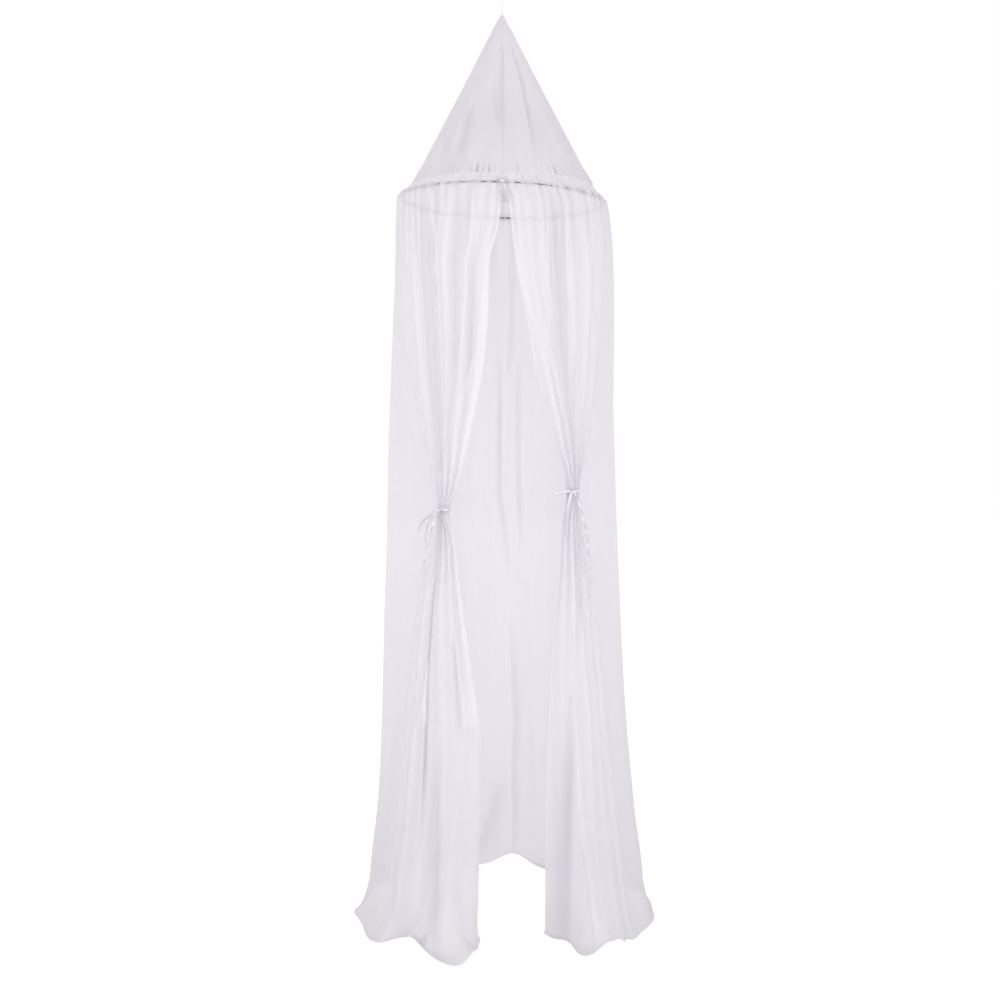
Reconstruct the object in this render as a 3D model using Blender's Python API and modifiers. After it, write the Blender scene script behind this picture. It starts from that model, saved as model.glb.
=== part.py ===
"""Mosquito net canopy: a sheer curtain gathered on a wire hoop under a cloth cone, hung by one cord.

Metres, +Z up. The origin is the hanging point, the top of the cord's loop. The front, where the
curtain is parted, faces -Y, and +X is to its right. Heights in the tables are above the hem's level,
because that is how the curtain is measured, and FLOOR turns them into the part's own frame.
"""

import math

import bmesh
import bpy
import numpy as np
from mathutils import Matrix, Vector

# Heights above the level that the hem reaches
HANG_HEIGHT = 2.330
APEX_HEIGHT = 2.242
SEAM_HEIGHT = 1.820
HOOP_HEIGHT = 1.779
HEM_FLARE_HEIGHT = 0.100
FLOOR = -HANG_HEIGHT

# Cloth and wire
CLOTH = 0.0010
CLOTH_WIDTH = 2.40
HOOP_RADIUS = 0.250
HOOP_WIRE = 0.0040
HOOP_TILT = math.radians(1.8)
SEAM_RADIUS = 0.222
SEAM_DIP = 0.011
SEAM_DIP_HALF_ANGLE = 1.0
SEAM_EASE = 0.0006
SEAT_GAP = 0.0003
HOOP_CLEARANCE = 0.0009
HEADING_RADIUS = HOOP_RADIUS + HOOP_WIRE / 2 + HOOP_CLEARANCE + CLOTH / 2
HOOP_SEGMENTS = 80
WIRE_SIDES = 6
RIBBON_WIDTH = 0.007
RIBBON_THICKNESS = 0.0012

# Hanging cord
CORD_DIAMETER = 0.0035
LOOP_LENGTH = 0.036
KNOT_HEIGHT = 0.009
KNOT_RADIUS = 0.0042
KNOT_OVERLAP = 0.0028
CORD_POINTS = 7
CORD_ROUNDNESS = 2
LOOP_HALF_WIDTH = 0.0105
LOOP_NECK = 0.35
LOOP_POINTS = 22
WELD = 1e-6

# Cone
CONE_TIP_RADIUS = 0.0032
CONE_TIP_DEPTH = 0.012
CONE_COLUMNS = 64
CONE_RINGS = (0.0, 0.05, 0.16, 0.30, 0.45, 0.60, 0.75, 0.88, 1.0)
CONE_SOLID_SHARE = 0.03
CREASE_FADE_TOP = 0.15
CREASE_FADE_SEAM = 0.12

# The cone's soft creases: angle from the front towards +X, share of the slope where each is deepest,
# half lengths along and across, and depth
CREASES = (
    # angle, middle, half_length, half_width, depth
    (0.02, 0.50, 0.42, 0.15, -0.0030),
    (0.40, 0.62, 0.40, 0.17, -0.0034),
    (0.70, 0.66, 0.36, 0.20, 0.0026),
    (-0.55, 0.64, 0.34, 0.18, -0.0028),
    (-0.86, 0.66, 0.30, 0.20, 0.0022),
    (2.20, 0.60, 0.40, 0.24, -0.0030),
    (-2.50, 0.58, 0.40, 0.24, -0.0030),
)

# Curtain. Its level runs -1 at the seam, 0 at the hoop, 1 at the ties, 2 at the hem's flare, 3 at the hem
LEVELS = (-1.0, 0.0, 0.04, 0.15, 0.30, 0.45, 0.60, 0.75, 0.87, 0.95, 0.992,
          1.008, 1.05, 1.13, 1.26, 1.42, 1.60, 1.78, 1.92, 2.0, 2.35, 2.70, 3.0)
BUNDLE_SHARE = 0.18
BUNDLE_PLEATS = 5
BUNDLE_LENGTH = 0.024
BUNDLE_FADE = 0.09
PLEAT_COLUMNS = 6
FOLD_COLUMNS = 5
FRONT_HALF_GAP = 0.0088
EDGE_START = 0.05
PATH_SAMPLES = 1201
TANGENT_REACH = 0.004

# The bundle in a tie is a rounded stack: how far the rounding goes across it, and over how many levels
# and how much of the cloth beside it the folds lie flatter
STACK_ROUNDING = 0.62
TIED_LEVELS = 0.3
TIED_FADE = 0.6

# radius is the outline's, bow is how round the tied part stays, gather pulls its outer end to the tie,
# pleat and fold are shares of the depth that the spare cloth could take, and crisp squares the pleats
SECTIONS = {
    "level": (-1.0, 0.0, 0.04, 0.33, 0.67, 0.90, 1.0, 1.10, 1.27, 1.54, 1.80, 2.0, 3.0),
    "radius": (SEAM_RADIUS + SEAM_EASE, HEADING_RADIUS, 0.258, 0.271, 0.281, 0.288, 0.290, 0.292, 0.297, 0.304, 0.319, 0.340, 0.362),
    "centre": (0.0, 0.0, 0.001, 0.006, 0.004, 0.003, 0.003, 0.004, 0.006, 0.009, 0.014, 0.015, 0.006),
    "bow": (1.0, 1.0, 0.98, 0.75, 0.45, 0.15, 0.0, 0.10, 0.35, 0.60, 0.75, 0.85, 1.0),
    "gather": (0.0, 0.0, 0.01, 0.22, 0.55, 0.86, 1.0, 0.86, 0.60, 0.38, 0.25, 0.20, 0.10),
    "pleat": (0.0, 0.0, 0.14, 0.46, 0.60, 0.64, 0.58, 0.64, 0.70, 0.62, 0.52, 0.46, 0.34),
    "fold": (0.0, 0.0, 0.10, 0.28, 0.36, 0.38, 0.38, 0.40, 0.42, 0.46, 0.52, 0.58, 0.60),
    "crisp": (1.0, 1.0, 1.0, 0.90, 0.70, 0.42, 0.26, 0.42, 0.66, 0.85, 1.0, 1.0, 1.0),
}

# The two front edges in plan, left and right
EDGES = {
    "level": (0.0, 0.05, 0.25, 0.40, 0.55, 0.80, 0.95, 1.0, 1.08, 1.20, 1.40, 1.60, 1.80, 2.0, 3.0),
    "left_x": (-0.002, -0.006, -0.031, -0.031, -0.042, -0.079, -0.109, -0.1275,
               -0.110, -0.096, -0.072, -0.050, -0.052, -0.056, -0.066),
    "left_y": (-0.253, -0.253, -0.250, -0.247, -0.240, -0.224, -0.208, -0.202,
               -0.203, -0.200, -0.193, -0.186, -0.178, -0.170, -0.125),
    "right_x": (0.002, 0.014, 0.030, 0.052, 0.071, 0.118, 0.150, 0.1567,
                0.1425, 0.1355, 0.118, 0.109, 0.1035, 0.102, 0.108),
    "right_y": (-0.253, -0.2525, -0.248, -0.243, -0.236, -0.213, -0.194, -0.188,
                -0.190, -0.186, -0.178, -0.170, -0.158, -0.145, -0.105),
}

# Where each tie gathers the cloth: plan position of the bundle's middle, height, and how far its knot
# is turned from the front
TIES = {
    "left": {"x": -0.137, "y": -0.195, "height": 1.024, "knot_turn": -0.36},
    "right": {"x": 0.1655, "y": -0.180, "height": 1.066, "knot_turn": -0.10},
}

# The folds between the two bundles, from the left tie round the back: share of width, share of depth
FOLDS = (
    # width, depth
    (1.00, 0.55),
    (0.80, 0.90),
    (1.25, 1.10),
    (0.85, 0.80),
    (1.10, 1.15),
    (0.75, 0.90),
    (1.20, 1.05),
    (0.90, 1.20),
    (1.15, 0.85),
    (1.00, 0.55),
)

# The hem where it trails on the ground: place across the cloth, reach outwards, half width
TIPS = (
    # place, reach, half_width
    (0.045, 0.150, 0.034),
    (0.110, -0.060, 0.030),
    (0.175, 0.008, 0.026),
    (0.285, 0.016, 0.040),
    (0.420, 0.018, 0.050),
    (0.580, -0.034, 0.055),
    (0.730, 0.020, 0.040),
    (0.845, -0.020, 0.022),
    (0.928, 0.085, 0.030),
    (0.985, 0.030, 0.018),
)

# Where the hem hangs clear of the ground: place across the cloth, height, half width
LIFTS = (
    # place, height, half_width
    (0.512, 0.034, 0.030),
    (0.330, 0.012, 0.030),
    (0.690, 0.010, 0.030),
)
HEM_HEIGHT = 0.003
TRAIL_POWER = 1.5
HEM_DROP_POWER = 2.2

# The free ends of each tie, from its knot: offsets of the start, sideways and forward lean, fall,
# twist and starting turn
TIE_TAILS = {
    "left": (
        # start_x, start_y, start_z, lean_x, lean_y, length, turns, phase, points
        (-0.0035, -0.0005, 0.0022, -0.030, -0.010, 0.072, 0.30, 0.3, 7),
        (-0.0010, -0.0015, -0.0030, -0.036, -0.018, 0.150, 2.00, 0.8, 26),
        (-0.0040, 0.0002, -0.0012, -0.044, -0.002, 0.046, 0.20, 0.2, 6),
    ),
    "right": (
        (0.0035, -0.0010, 0.0018, 0.041, -0.024, 0.235, 3.60, 0.1, 46),
        (-0.0010, -0.0018, -0.0026, -0.018, -0.026, 0.110, 0.40, 0.0, 9),
        (-0.0040, 0.0002, 0.0012, -0.036, -0.002, 0.010, 0.00, 0.0, 5),
    ),
}
TAIL_SWING_POWER = 2.2
TIE_BAND_RADIUS = 0.0165
TIE_BAND_POINTS = 25
TIE_KNOT_RADII = (0.0052, 0.0036, 0.0046)
TIE_KNOT_SINK = 0.0002
TIE_OPENING = 0.70

# The heading ribbon's bow over the parting, and its free ends: sideways lean, fall and twist
BOW_TAILS = (
    # lean_x, length, turns
    (-0.003, 0.040, 0.4),
    (0.016, 0.052, 0.5),
)
BOW_PLACE = (-0.001, 0.001)
BOW_KNOT_RADII = (0.0048, 0.0036, 0.0048)
BOW_LOOP_RADII = (0.0066, 0.0024, 0.0040)
BOW_LOOP_OFFSET = (0.008, -0.0004, 0.004)
BOW_RIBBON_WIDTH = 0.005
BOW_TAIL_LEAN = -0.002
BOW_TAIL_SPREAD = 0.2
BOW_TAIL_START = (-0.001, -0.001)
BOW_TAIL_PHASE = 0.2
BOW_TAIL_POINTS = 8

WHITE_VOILE = {"colour": (0.86, 0.85, 0.90), "roughness": 0.85, "metallic": 0.0}
WHITE_COTTON = {"colour": (0.82, 0.81, 0.86), "roughness": 0.85, "metallic": 0.0}
RIBBON_SATIN = {"colour": (0.74, 0.74, 0.88), "roughness": 0.50, "metallic": 0.0}
CORD_WHITE = {"colour": (0.80, 0.80, 0.80), "roughness": 0.80, "metallic": 0.0}
DARK_WIRE = {"colour": (0.03, 0.03, 0.035), "roughness": 0.40, "metallic": 0.0}


def clear_scene():
    """Remove every object of the open scene."""
    for obj in list(bpy.data.objects):
        bpy.data.objects.remove(obj, do_unlink=True)


def new_collection(name):
    """A collection linked to the scene."""
    collection = bpy.data.collections.new(name)
    bpy.context.scene.collection.children.link(collection)
    return collection


def material(name, finish):
    """A Principled material with the finish's colour, roughness and metallic value."""
    made = bpy.data.materials.new(name)
    made.use_nodes = True
    shader = made.node_tree.nodes["Principled BSDF"]
    shader.inputs["Base Color"].default_value = (*finish["colour"], 1.0)
    shader.inputs["Roughness"].default_value = finish["roughness"]
    shader.inputs["Metallic"].default_value = finish["metallic"]
    return made


def mesh_object(name, points, faces, collection, finish):
    """A smooth-shaded object from points and faces, in the collection."""
    mesh = bpy.data.meshes.new(name)
    mesh.from_pydata([tuple(p) for p in points], [], faces)
    mesh.validate()
    mesh.shade_smooth()
    mesh.materials.append(finish)
    obj = bpy.data.objects.new(name, mesh)
    collection.objects.link(obj)
    return obj


def grid_faces(rows, columns, closed=False):
    """Quads of a grid of rows by columns, joined round when closed."""
    across = columns if closed else columns - 1
    faces = []
    for row in range(rows - 1):
        for column in range(across):
            after = (column + 1) % columns
            faces.append((row * columns + column, (row + 1) * columns + column,
                          (row + 1) * columns + after, row * columns + after))
    return faces


def smooth_table(table, column, level):
    """A table's column at any level: cubic pieces through its rows, flat-ended and free of overshoot."""
    x = np.array(table["level"])
    y = np.array(table[column])
    step = np.diff(y) / np.diff(x)
    slope = np.zeros(len(x))
    same = step[1:] * step[:-1] > 0
    slope[1:-1][same] = 2 / (1 / step[1:][same] + 1 / step[:-1][same])
    level = np.clip(level, x[0], x[-1])
    i = np.clip(np.searchsorted(x, level, side="right") - 1, 0, len(x) - 2)
    width = x[i + 1] - x[i]
    t = (level - x[i]) / width
    return ((1 + 2 * t) * (1 - t) ** 2 * y[i] + t * (1 - t) ** 2 * width * slope[i]
            + t * t * (3 - 2 * t) * y[i + 1] + t * t * (t - 1) * width * slope[i + 1])


def ease(t):
    """0 to 1 with flat ends."""
    t = np.clip(t, 0.0, 1.0)
    return t * t * (3 - 2 * t)


def bell(distance):
    """1 at no distance, about 0.4 at one half width, and 0 far away."""
    return np.exp(-distance * distance)


def ring_point(place, radius, centre):
    """The point of the round outline at a place across the cloth, from the front round the left."""
    start = FRONT_HALF_GAP
    angle = start + place * (2 * math.pi - 2 * start)
    return np.stack([centre - radius * np.sin(angle), -radius * np.cos(angle)], axis=-1)


def tie_frame(side):
    """The tie's middle in plan, and the direction along which its pleats are stacked, edge to outer end."""
    tie = TIES[side]
    middle = np.array([tie["x"], tie["y"]])
    angle = math.atan2(abs(tie["x"]), -tie["y"])
    along = np.array([math.copysign(math.cos(angle), tie["x"]), math.sin(angle)])
    return middle, along


def base_path(places, level):
    """The curtain's plan at a level before its folds: a round outline whose tied parts run from the
    front edge to the bundle's outer end, and which eases back to the outline beyond it."""
    radius = smooth_table(SECTIONS, "radius", level)
    centre = smooth_table(SECTIONS, "centre", level)
    bow = smooth_table(SECTIONS, "bow", level)
    gather = smooth_table(SECTIONS, "gather", level)
    path = ring_point(places, radius, centre)
    for side, share in (("left", places), ("right", 1 - places)):
        edge_place, outer_place = (0.0, BUNDLE_SHARE) if side == "left" else (1.0, 1 - BUNDLE_SHARE)
        round_edge = ring_point(np.array(edge_place), radius, centre)
        round_outer = ring_point(np.array(outer_place), radius, centre)
        middle, along = tie_frame(side)
        hung_edge = np.array([smooth_table(EDGES, side + "_x", level), smooth_table(EDGES, side + "_y", level)])
        edge = round_edge + (hung_edge - round_edge) * ease(level / EDGE_START)
        outer = round_outer + (middle + along * BUNDLE_LENGTH / 2 - round_outer) * gather
        v = (share / BUNDLE_SHARE)[:, None]
        chord = edge + (outer - edge) * v
        round_chord = round_edge + (round_outer - round_edge) * v
        tied = chord + (ring_point(places, radius, centre) - round_chord) * bow
        beyond = 1 - ease((share - BUNDLE_SHARE) / BUNDLE_FADE)[:, None]
        eased = path + (outer - round_outer) * beyond
        path = np.where(v <= 1, tied, eased)
    return path


def fold_spans():
    """Every fold's start and end across the cloth, its share of depth and its number of columns."""
    pleat = BUNDLE_SHARE / BUNDLE_PLEATS
    spans = [(k * pleat, (k + 1) * pleat, 1.0, PLEAT_COLUMNS) for k in range(BUNDLE_PLEATS)]
    widths = np.array([fold[0] for fold in FOLDS])
    ends = BUNDLE_SHARE + np.concatenate([[0], np.cumsum(widths)]) / widths.sum() * (1 - 2 * BUNDLE_SHARE)
    spans += [(ends[k], ends[k + 1], FOLDS[k][1], FOLD_COLUMNS) for k in range(len(FOLDS))]
    spans += [(1 - (k + 1) * pleat, 1 - k * pleat, 1.0, PLEAT_COLUMNS)
              for k in reversed(range(BUNDLE_PLEATS))]
    return spans


def seam_height(angle):
    """Height of the seam at an angle from the front, where the cone's edge dips a little."""
    turn = (angle + math.pi) % (2 * math.pi) - math.pi
    return SEAM_HEIGHT - SEAM_DIP * bell(turn / SEAM_DIP_HALF_ANGLE)


def row_height(places, level):
    """Height above the hem's level. The two ties differ in height and the hoop hangs lower on its
    right, so a row tilts a little from left to right."""
    tie = TIES["left"]["height"] + (TIES["right"]["height"] - TIES["left"]["height"]) * ease(places)
    angle = 2 * math.pi * places
    crest = HOOP_HEIGHT + HOOP_WIRE / 2 + HOOP_RADIUS * math.tan(HOOP_TILT) * np.sin(angle)
    if level <= 0:
        return crest + (seam_height(angle) - SEAT_GAP - crest) * -level
    if level <= 1:
        return crest + (tie - crest) * level
    if level <= 2:
        return tie + (HEM_FLARE_HEIGHT - tie) * (level - 1)
    hem = np.full(len(places), HEM_HEIGHT)
    for place, height, half_width in LIFTS:
        hem = hem + height * bell((places - place) / half_width)
    return hem + (HEM_FLARE_HEIGHT - hem) * (3 - level) ** HEM_DROP_POWER


def curtain_row(level):
    """One row of the curtain. Each fold is as deep as the cloth between its ends allows, times its share."""
    fine = np.linspace(0.0, 1.0, PATH_SAMPLES)
    path = base_path(fine, level)
    run = np.concatenate([[0], np.cumsum(np.linalg.norm(np.diff(path, axis=0), axis=1))])
    crisp = smooth_table(SECTIONS, "crisp", level)
    shares = {PLEAT_COLUMNS: smooth_table(SECTIONS, "pleat", level),
              FOLD_COLUMNS: smooth_table(SECTIONS, "fold", level)}
    at, depth, places = [], [], []
    for start, end, depth_share, columns in fold_spans():
        begin, finish = np.interp([start, end], fine, run)
        pitch = finish - begin
        spare = math.sqrt(max((CLOTH_WIDTH * (end - start)) ** 2 - pitch ** 2, 0.0)) / 4
        turn = 2 * math.pi * np.arange(columns) / columns
        square = crisp if columns == PLEAT_COLUMNS else 1.0
        stair = np.arctan2(square * np.sin(turn), np.cos(turn)) % (2 * math.pi) / (2 * math.pi)
        wave = np.sin(turn) / np.hypot(np.sin(turn), square * np.cos(turn))
        place = start + (end - start) * np.arange(columns) / columns
        nearest = np.minimum(place, 1 - place) / BUNDLE_SHARE
        rounding = np.sqrt(1 - ((np.clip(nearest, 0, 1) - 0.5) / STACK_ROUNDING) ** 2)
        tied = ease(1 - abs(level - 1) / TIED_LEVELS)
        taper = np.where(nearest < 1, 1 + (rounding - 1) * tied,
                         1 - tied * (1 - ease((nearest - 1) / TIED_FADE)))
        at += list(begin + pitch * stair)
        depth += list(wave * spare * depth_share * shares[columns] * taper)
        places += list(place)
    at, depth, places = (np.append(a, b) for a, b in ((at, run[-1]), (depth, 0.0), (places, 1.0)))
    points = np.stack([np.interp(at, run, path[:, k]) for k in (0, 1)], axis=-1)
    ahead, behind = (np.stack([np.interp(at + d, run, path[:, k]) for k in (0, 1)], axis=-1)
                     for d in (TANGENT_REACH, -TANGENT_REACH))
    tangent = ahead - behind
    tangent /= np.linalg.norm(tangent, axis=1)[:, None]
    outwards = np.stack([-tangent[:, 1], tangent[:, 0]], axis=-1)
    points = points + outwards * depth[:, None]
    trail = sum(reach * bell((places - place) / half) for place, reach, half in TIPS)
    flare = np.clip(level - 2, 0, 1) ** TRAIL_POWER
    points = points + outwards * (trail * flare)[:, None]
    return np.column_stack([points, FLOOR + row_height(places, level)])


def build_curtain(collection, finish):
    """The curtain as one open sheet from front edge to front edge, thickened evenly."""
    rows = np.array([curtain_row(level) for level in LEVELS])
    count, columns = rows.shape[:2]
    obj = mesh_object("curtain", rows.reshape(-1, 3), grid_faces(count, columns), collection, finish)
    wall = obj.modifiers.new("cloth", "SOLIDIFY")
    wall.thickness = CLOTH
    wall.offset = 0.0
    wall.use_even_offset = True
    return obj


def crease_depth(angle, along):
    """The cone's outward displacement at an angle from the front and a share of its slope."""
    total = np.zeros(np.shape(angle))
    for middle, share, half_length, half_width, depth in CREASES:
        turn = (angle - middle + math.pi) % (2 * math.pi) - math.pi
        total = total + depth * bell(turn / half_width) * bell((along - share) / half_length)
    return total * ease(along / CREASE_FADE_TOP) * ease((1 - along) / CREASE_FADE_SEAM)


def build_cone(collection, finish):
    """The cone as a closed skin: outer and inner wall from the solid tip to the seam edge."""
    slope = math.hypot(SEAM_RADIUS, APEX_HEIGHT - SEAM_HEIGHT)
    lean_out = (APEX_HEIGHT - SEAM_HEIGHT) / slope
    lean_up = SEAM_RADIUS / slope
    angle = np.arange(CONE_COLUMNS) * 2 * math.pi / CONE_COLUMNS
    rings = []
    for side, shares in ((0.5, CONE_RINGS), (-0.5, [s for s in reversed(CONE_RINGS) if s > CONE_SOLID_SHARE])):
        for share in shares:
            radius = CONE_TIP_RADIUS + (SEAM_RADIUS - CONE_TIP_RADIUS) * share
            height = APEX_HEIGHT + (seam_height(angle) + SEAT_GAP - APEX_HEIGHT) * share
            push = crease_depth(angle, share) + side * CLOTH
            flat_radius = radius + push * lean_out
            rings.append(np.column_stack([flat_radius * np.sin(angle), -flat_radius * np.cos(angle),
                                          FLOOR + height + push * lean_up]))
    count = len(rings)
    rings[0][:, 2] = FLOOR + APEX_HEIGHT
    points = np.concatenate(rings + [[[0, 0, FLOOR + APEX_HEIGHT]],
                                     [[0, 0, FLOOR + APEX_HEIGHT - CONE_TIP_DEPTH - CONE_TIP_RADIUS]]])
    faces = grid_faces(count, CONE_COLUMNS, closed=True)
    top, bottom = count * CONE_COLUMNS, count * CONE_COLUMNS + 1
    for column in range(CONE_COLUMNS):
        after = (column + 1) % CONE_COLUMNS
        faces.append((top, column, after))
        faces.append((bottom, (count - 1) * CONE_COLUMNS + after, (count - 1) * CONE_COLUMNS + column))
    return mesh_object("cone_top", points, faces, collection, finish)


def build_hoop(collection, finish):
    """The wire hoop."""
    bpy.ops.mesh.primitive_torus_add(major_radius=HOOP_RADIUS, minor_radius=HOOP_WIRE / 2,
                                     major_segments=HOOP_SEGMENTS, minor_segments=WIRE_SIDES,
                                     location=(0, 0, FLOOR + HOOP_HEIGHT),
                                     rotation=(0, HOOP_TILT, 0))
    obj = bpy.context.active_object
    obj.name = obj.data.name = "hoop"
    obj.data.shade_smooth()
    obj.data.materials.append(finish)
    for owner in list(obj.users_collection):
        owner.objects.unlink(obj)
    collection.objects.link(obj)
    return obj


def tube(name, points, diameter, collection, cyclic=False):
    """A round cord through the points, as a curve with filled ends."""
    curve = bpy.data.curves.new(name, "CURVE")
    curve.dimensions = "3D"
    curve.bevel_depth = diameter / 2
    curve.bevel_resolution = CORD_ROUNDNESS
    curve.use_fill_caps = True
    spline = curve.splines.new("POLY")
    spline.points.add(len(points) - 1)
    spline.points.foreach_set("co", np.column_stack([points, np.ones(len(points))]).ravel())
    spline.use_cyclic_u = cyclic
    obj = bpy.data.objects.new(name, curve)
    collection.objects.link(obj)
    return obj


def build_cord(collection, finish):
    """The straight cord from the cone's tip to the knot under its loop."""
    top = -LOOP_LENGTH - KNOT_HEIGHT - SEAT_GAP
    bottom = APEX_HEIGHT - HANG_HEIGHT + SEAT_GAP
    heights = np.linspace(bottom, top, CORD_POINTS)
    points = np.column_stack([np.zeros((CORD_POINTS, 2)), heights])
    obj = tube("hanging_cord", points, CORD_DIAMETER, collection)
    obj.data.materials.append(finish)
    return obj


def as_mesh(obj):
    """A curve's evaluated mesh as a new object with its caps welded, in place of the curve."""
    graph = bpy.context.evaluated_depsgraph_get()
    mesh = bpy.data.meshes.new_from_object(obj.evaluated_get(graph))
    name, collection, matrix = obj.name, obj.users_collection[0], obj.matrix_world.copy()
    bpy.data.objects.remove(obj, do_unlink=True)
    welded = bmesh.new()
    welded.from_mesh(mesh)
    bmesh.ops.remove_doubles(welded, verts=welded.verts, dist=WELD)
    bmesh.ops.recalc_face_normals(welded, faces=welded.faces)
    welded.to_mesh(mesh)
    welded.free()
    made = bpy.data.objects.new(name, mesh)
    made.matrix_world = matrix
    collection.objects.link(made)
    return made


def lump(name, centre, radii, collection, segments=12, rings=8):
    """A rounded lump, as a tied knot is: a sphere stretched to its radii."""
    bpy.ops.mesh.primitive_uv_sphere_add(segments=segments, ring_count=rings, radius=1.0)
    obj = bpy.context.active_object
    obj.name = obj.data.name = name
    obj.data.transform(Matrix.Translation(Vector(centre)) @ Matrix.Diagonal((*radii, 1.0)))
    for owner in list(obj.users_collection):
        owner.objects.unlink(obj)
    collection.objects.link(obj)
    return obj


def ribbon_faces(rows):
    """Triangles of a four-cornered strip. Its two flat sides are split along parallel diagonals, so
    that a tight twist never brings one through the other."""
    faces = [(3, 2, 1, 0)]
    for row in range(rows - 1):
        a, b = 4 * row, 4 * (row + 1)
        faces += [(a, b, b + 1), (a, b + 1, a + 1), (a + 1, b + 1, b + 2), (a + 1, b + 2, a + 2),
                  (a + 2, b + 2, a + 3), (a + 3, b + 2, b + 3), (a + 3, b + 3, b), (a + 3, b, a)]
    last = 4 * (rows - 1)
    faces.append((last, last + 1, last + 2, last + 3))
    return faces


def ribbon(name, points, faces_to, width, thickness, collection):
    """A flat ribbon: a strip's section carried along the points, its flat side turned to the direction
    given at each point."""
    points = np.array(points, float)
    ahead = np.gradient(points, axis=0)
    ahead /= np.linalg.norm(ahead, axis=1)[:, None]
    face = np.array(faces_to, float)
    across = np.cross(ahead, face)
    across /= np.linalg.norm(across, axis=1)[:, None]
    out = np.cross(across, ahead)
    half, thin = width / 2, thickness / 2
    section = ((half, thin), (-half, thin), (-half, -thin), (half, -thin))
    rows = np.array([[p + a * x + o * y for x, y in section] for p, a, o in zip(points, across, out)])
    mesh = bpy.data.meshes.new(name)
    mesh.from_pydata([tuple(p) for p in rows.reshape(-1, 3)], [], ribbon_faces(len(rows)))
    solid = bmesh.new()
    solid.from_mesh(mesh)
    bmesh.ops.recalc_face_normals(solid, faces=solid.faces)
    solid.to_mesh(mesh)
    solid.free()
    obj = bpy.data.objects.new(name, mesh)
    collection.objects.link(obj)
    return obj


def fuse(obj, others, cutters, solver="EXACT"):
    """Union of an object with others, which become hidden guides in the cutters' collection."""
    for other in others:
        for owner in list(other.users_collection):
            owner.objects.unlink(other)
        cutters.objects.link(other)
        other.hide_render = True
        other.display_type = "WIRE"
        union = obj.modifiers.new("fuse", "BOOLEAN")
        union.operation = "UNION"
        union.solver = solver
        union.object = other
    return obj


def build_loop(collection, cutters, finish):
    """The cord's loop over its knot: a teardrop of cord that meets itself in the knot."""
    turn = np.linspace(0.0, 2 * math.pi, LOOP_POINTS, endpoint=False)
    height = LOOP_LENGTH - CORD_DIAMETER / 2
    lift = (1 - np.cos(turn)) / 2
    width = LOOP_HALF_WIDTH * np.sin(turn) * (LOOP_NECK + (1 - LOOP_NECK) * lift)
    points = np.column_stack([width, np.zeros(LOOP_POINTS), -LOOP_LENGTH + height * lift])
    loop = as_mesh(tube("hanging_loop", points, CORD_DIAMETER, collection, cyclic=True))
    loop.data.materials.append(finish)
    knot = lump("loop_knot", (0, 0, -LOOP_LENGTH - KNOT_HEIGHT / 2 + KNOT_OVERLAP),
                (KNOT_RADIUS, KNOT_RADIUS, KNOT_HEIGHT / 2 + KNOT_OVERLAP), cutters)
    return fuse(loop, [knot], cutters)


def hanging_tail(start, length, lean, turns, phase, count):
    """A ribbon's free end: its points, falling from the start with a lean that fades, and the way its
    flat side faces as it twists."""
    t = np.linspace(0.0, 1.0, count)
    swing = 1 - (1 - t) ** TAIL_SWING_POWER
    points = np.array(start) + np.outer(swing, lean) + np.outer(-length * t, (0, 0, 1))
    twist = phase + 2 * math.pi * turns * t
    faces_to = np.column_stack([np.sin(twist), -np.cos(twist), np.zeros(count)])
    return points, faces_to


def build_tie(side, collection, cutters, finish):
    """A ribbon tie: a band round the bundle, open where the cloth leaves it, with its knot and ends."""
    middle, along = tie_frame(side)
    height = FLOOR + TIES[side]["height"]
    opening = math.atan2(along[1], along[0])
    turn = opening + np.linspace(TIE_OPENING, 2 * math.pi - TIE_OPENING, TIE_BAND_POINTS)
    outwards = np.column_stack([np.cos(turn), np.sin(turn), np.zeros(len(turn))])
    centre = np.array([*middle, height])
    band = ribbon("tie_" + side, centre + outwards * TIE_BAND_RADIUS, outwards,
                  RIBBON_WIDTH, RIBBON_THICKNESS, collection)
    band.data.shade_smooth()
    band.data.materials.append(finish)
    knot_turn = TIES[side]["knot_turn"]
    towards = np.array([math.sin(knot_turn), -math.cos(knot_turn), 0.0])
    knot_at = centre + towards * (TIE_BAND_RADIUS + TIE_KNOT_RADII[1] - TIE_KNOT_SINK)
    pieces = [lump("tie_knot_" + side, knot_at, TIE_KNOT_RADII, cutters)]
    for number, (sx, sy, sz, lx, ly, length, turns, phase, count) in enumerate(TIE_TAILS[side]):
        points, faces_to = hanging_tail(knot_at + (sx, sy, sz), length, (lx, ly, 0), turns, phase, count)
        pieces.append(ribbon(f"tie_tail_{side}_{number}", points, faces_to,
                             RIBBON_WIDTH, RIBBON_THICKNESS, cutters))
    return fuse(band, pieces, cutters, solver="MANIFOLD")


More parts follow.
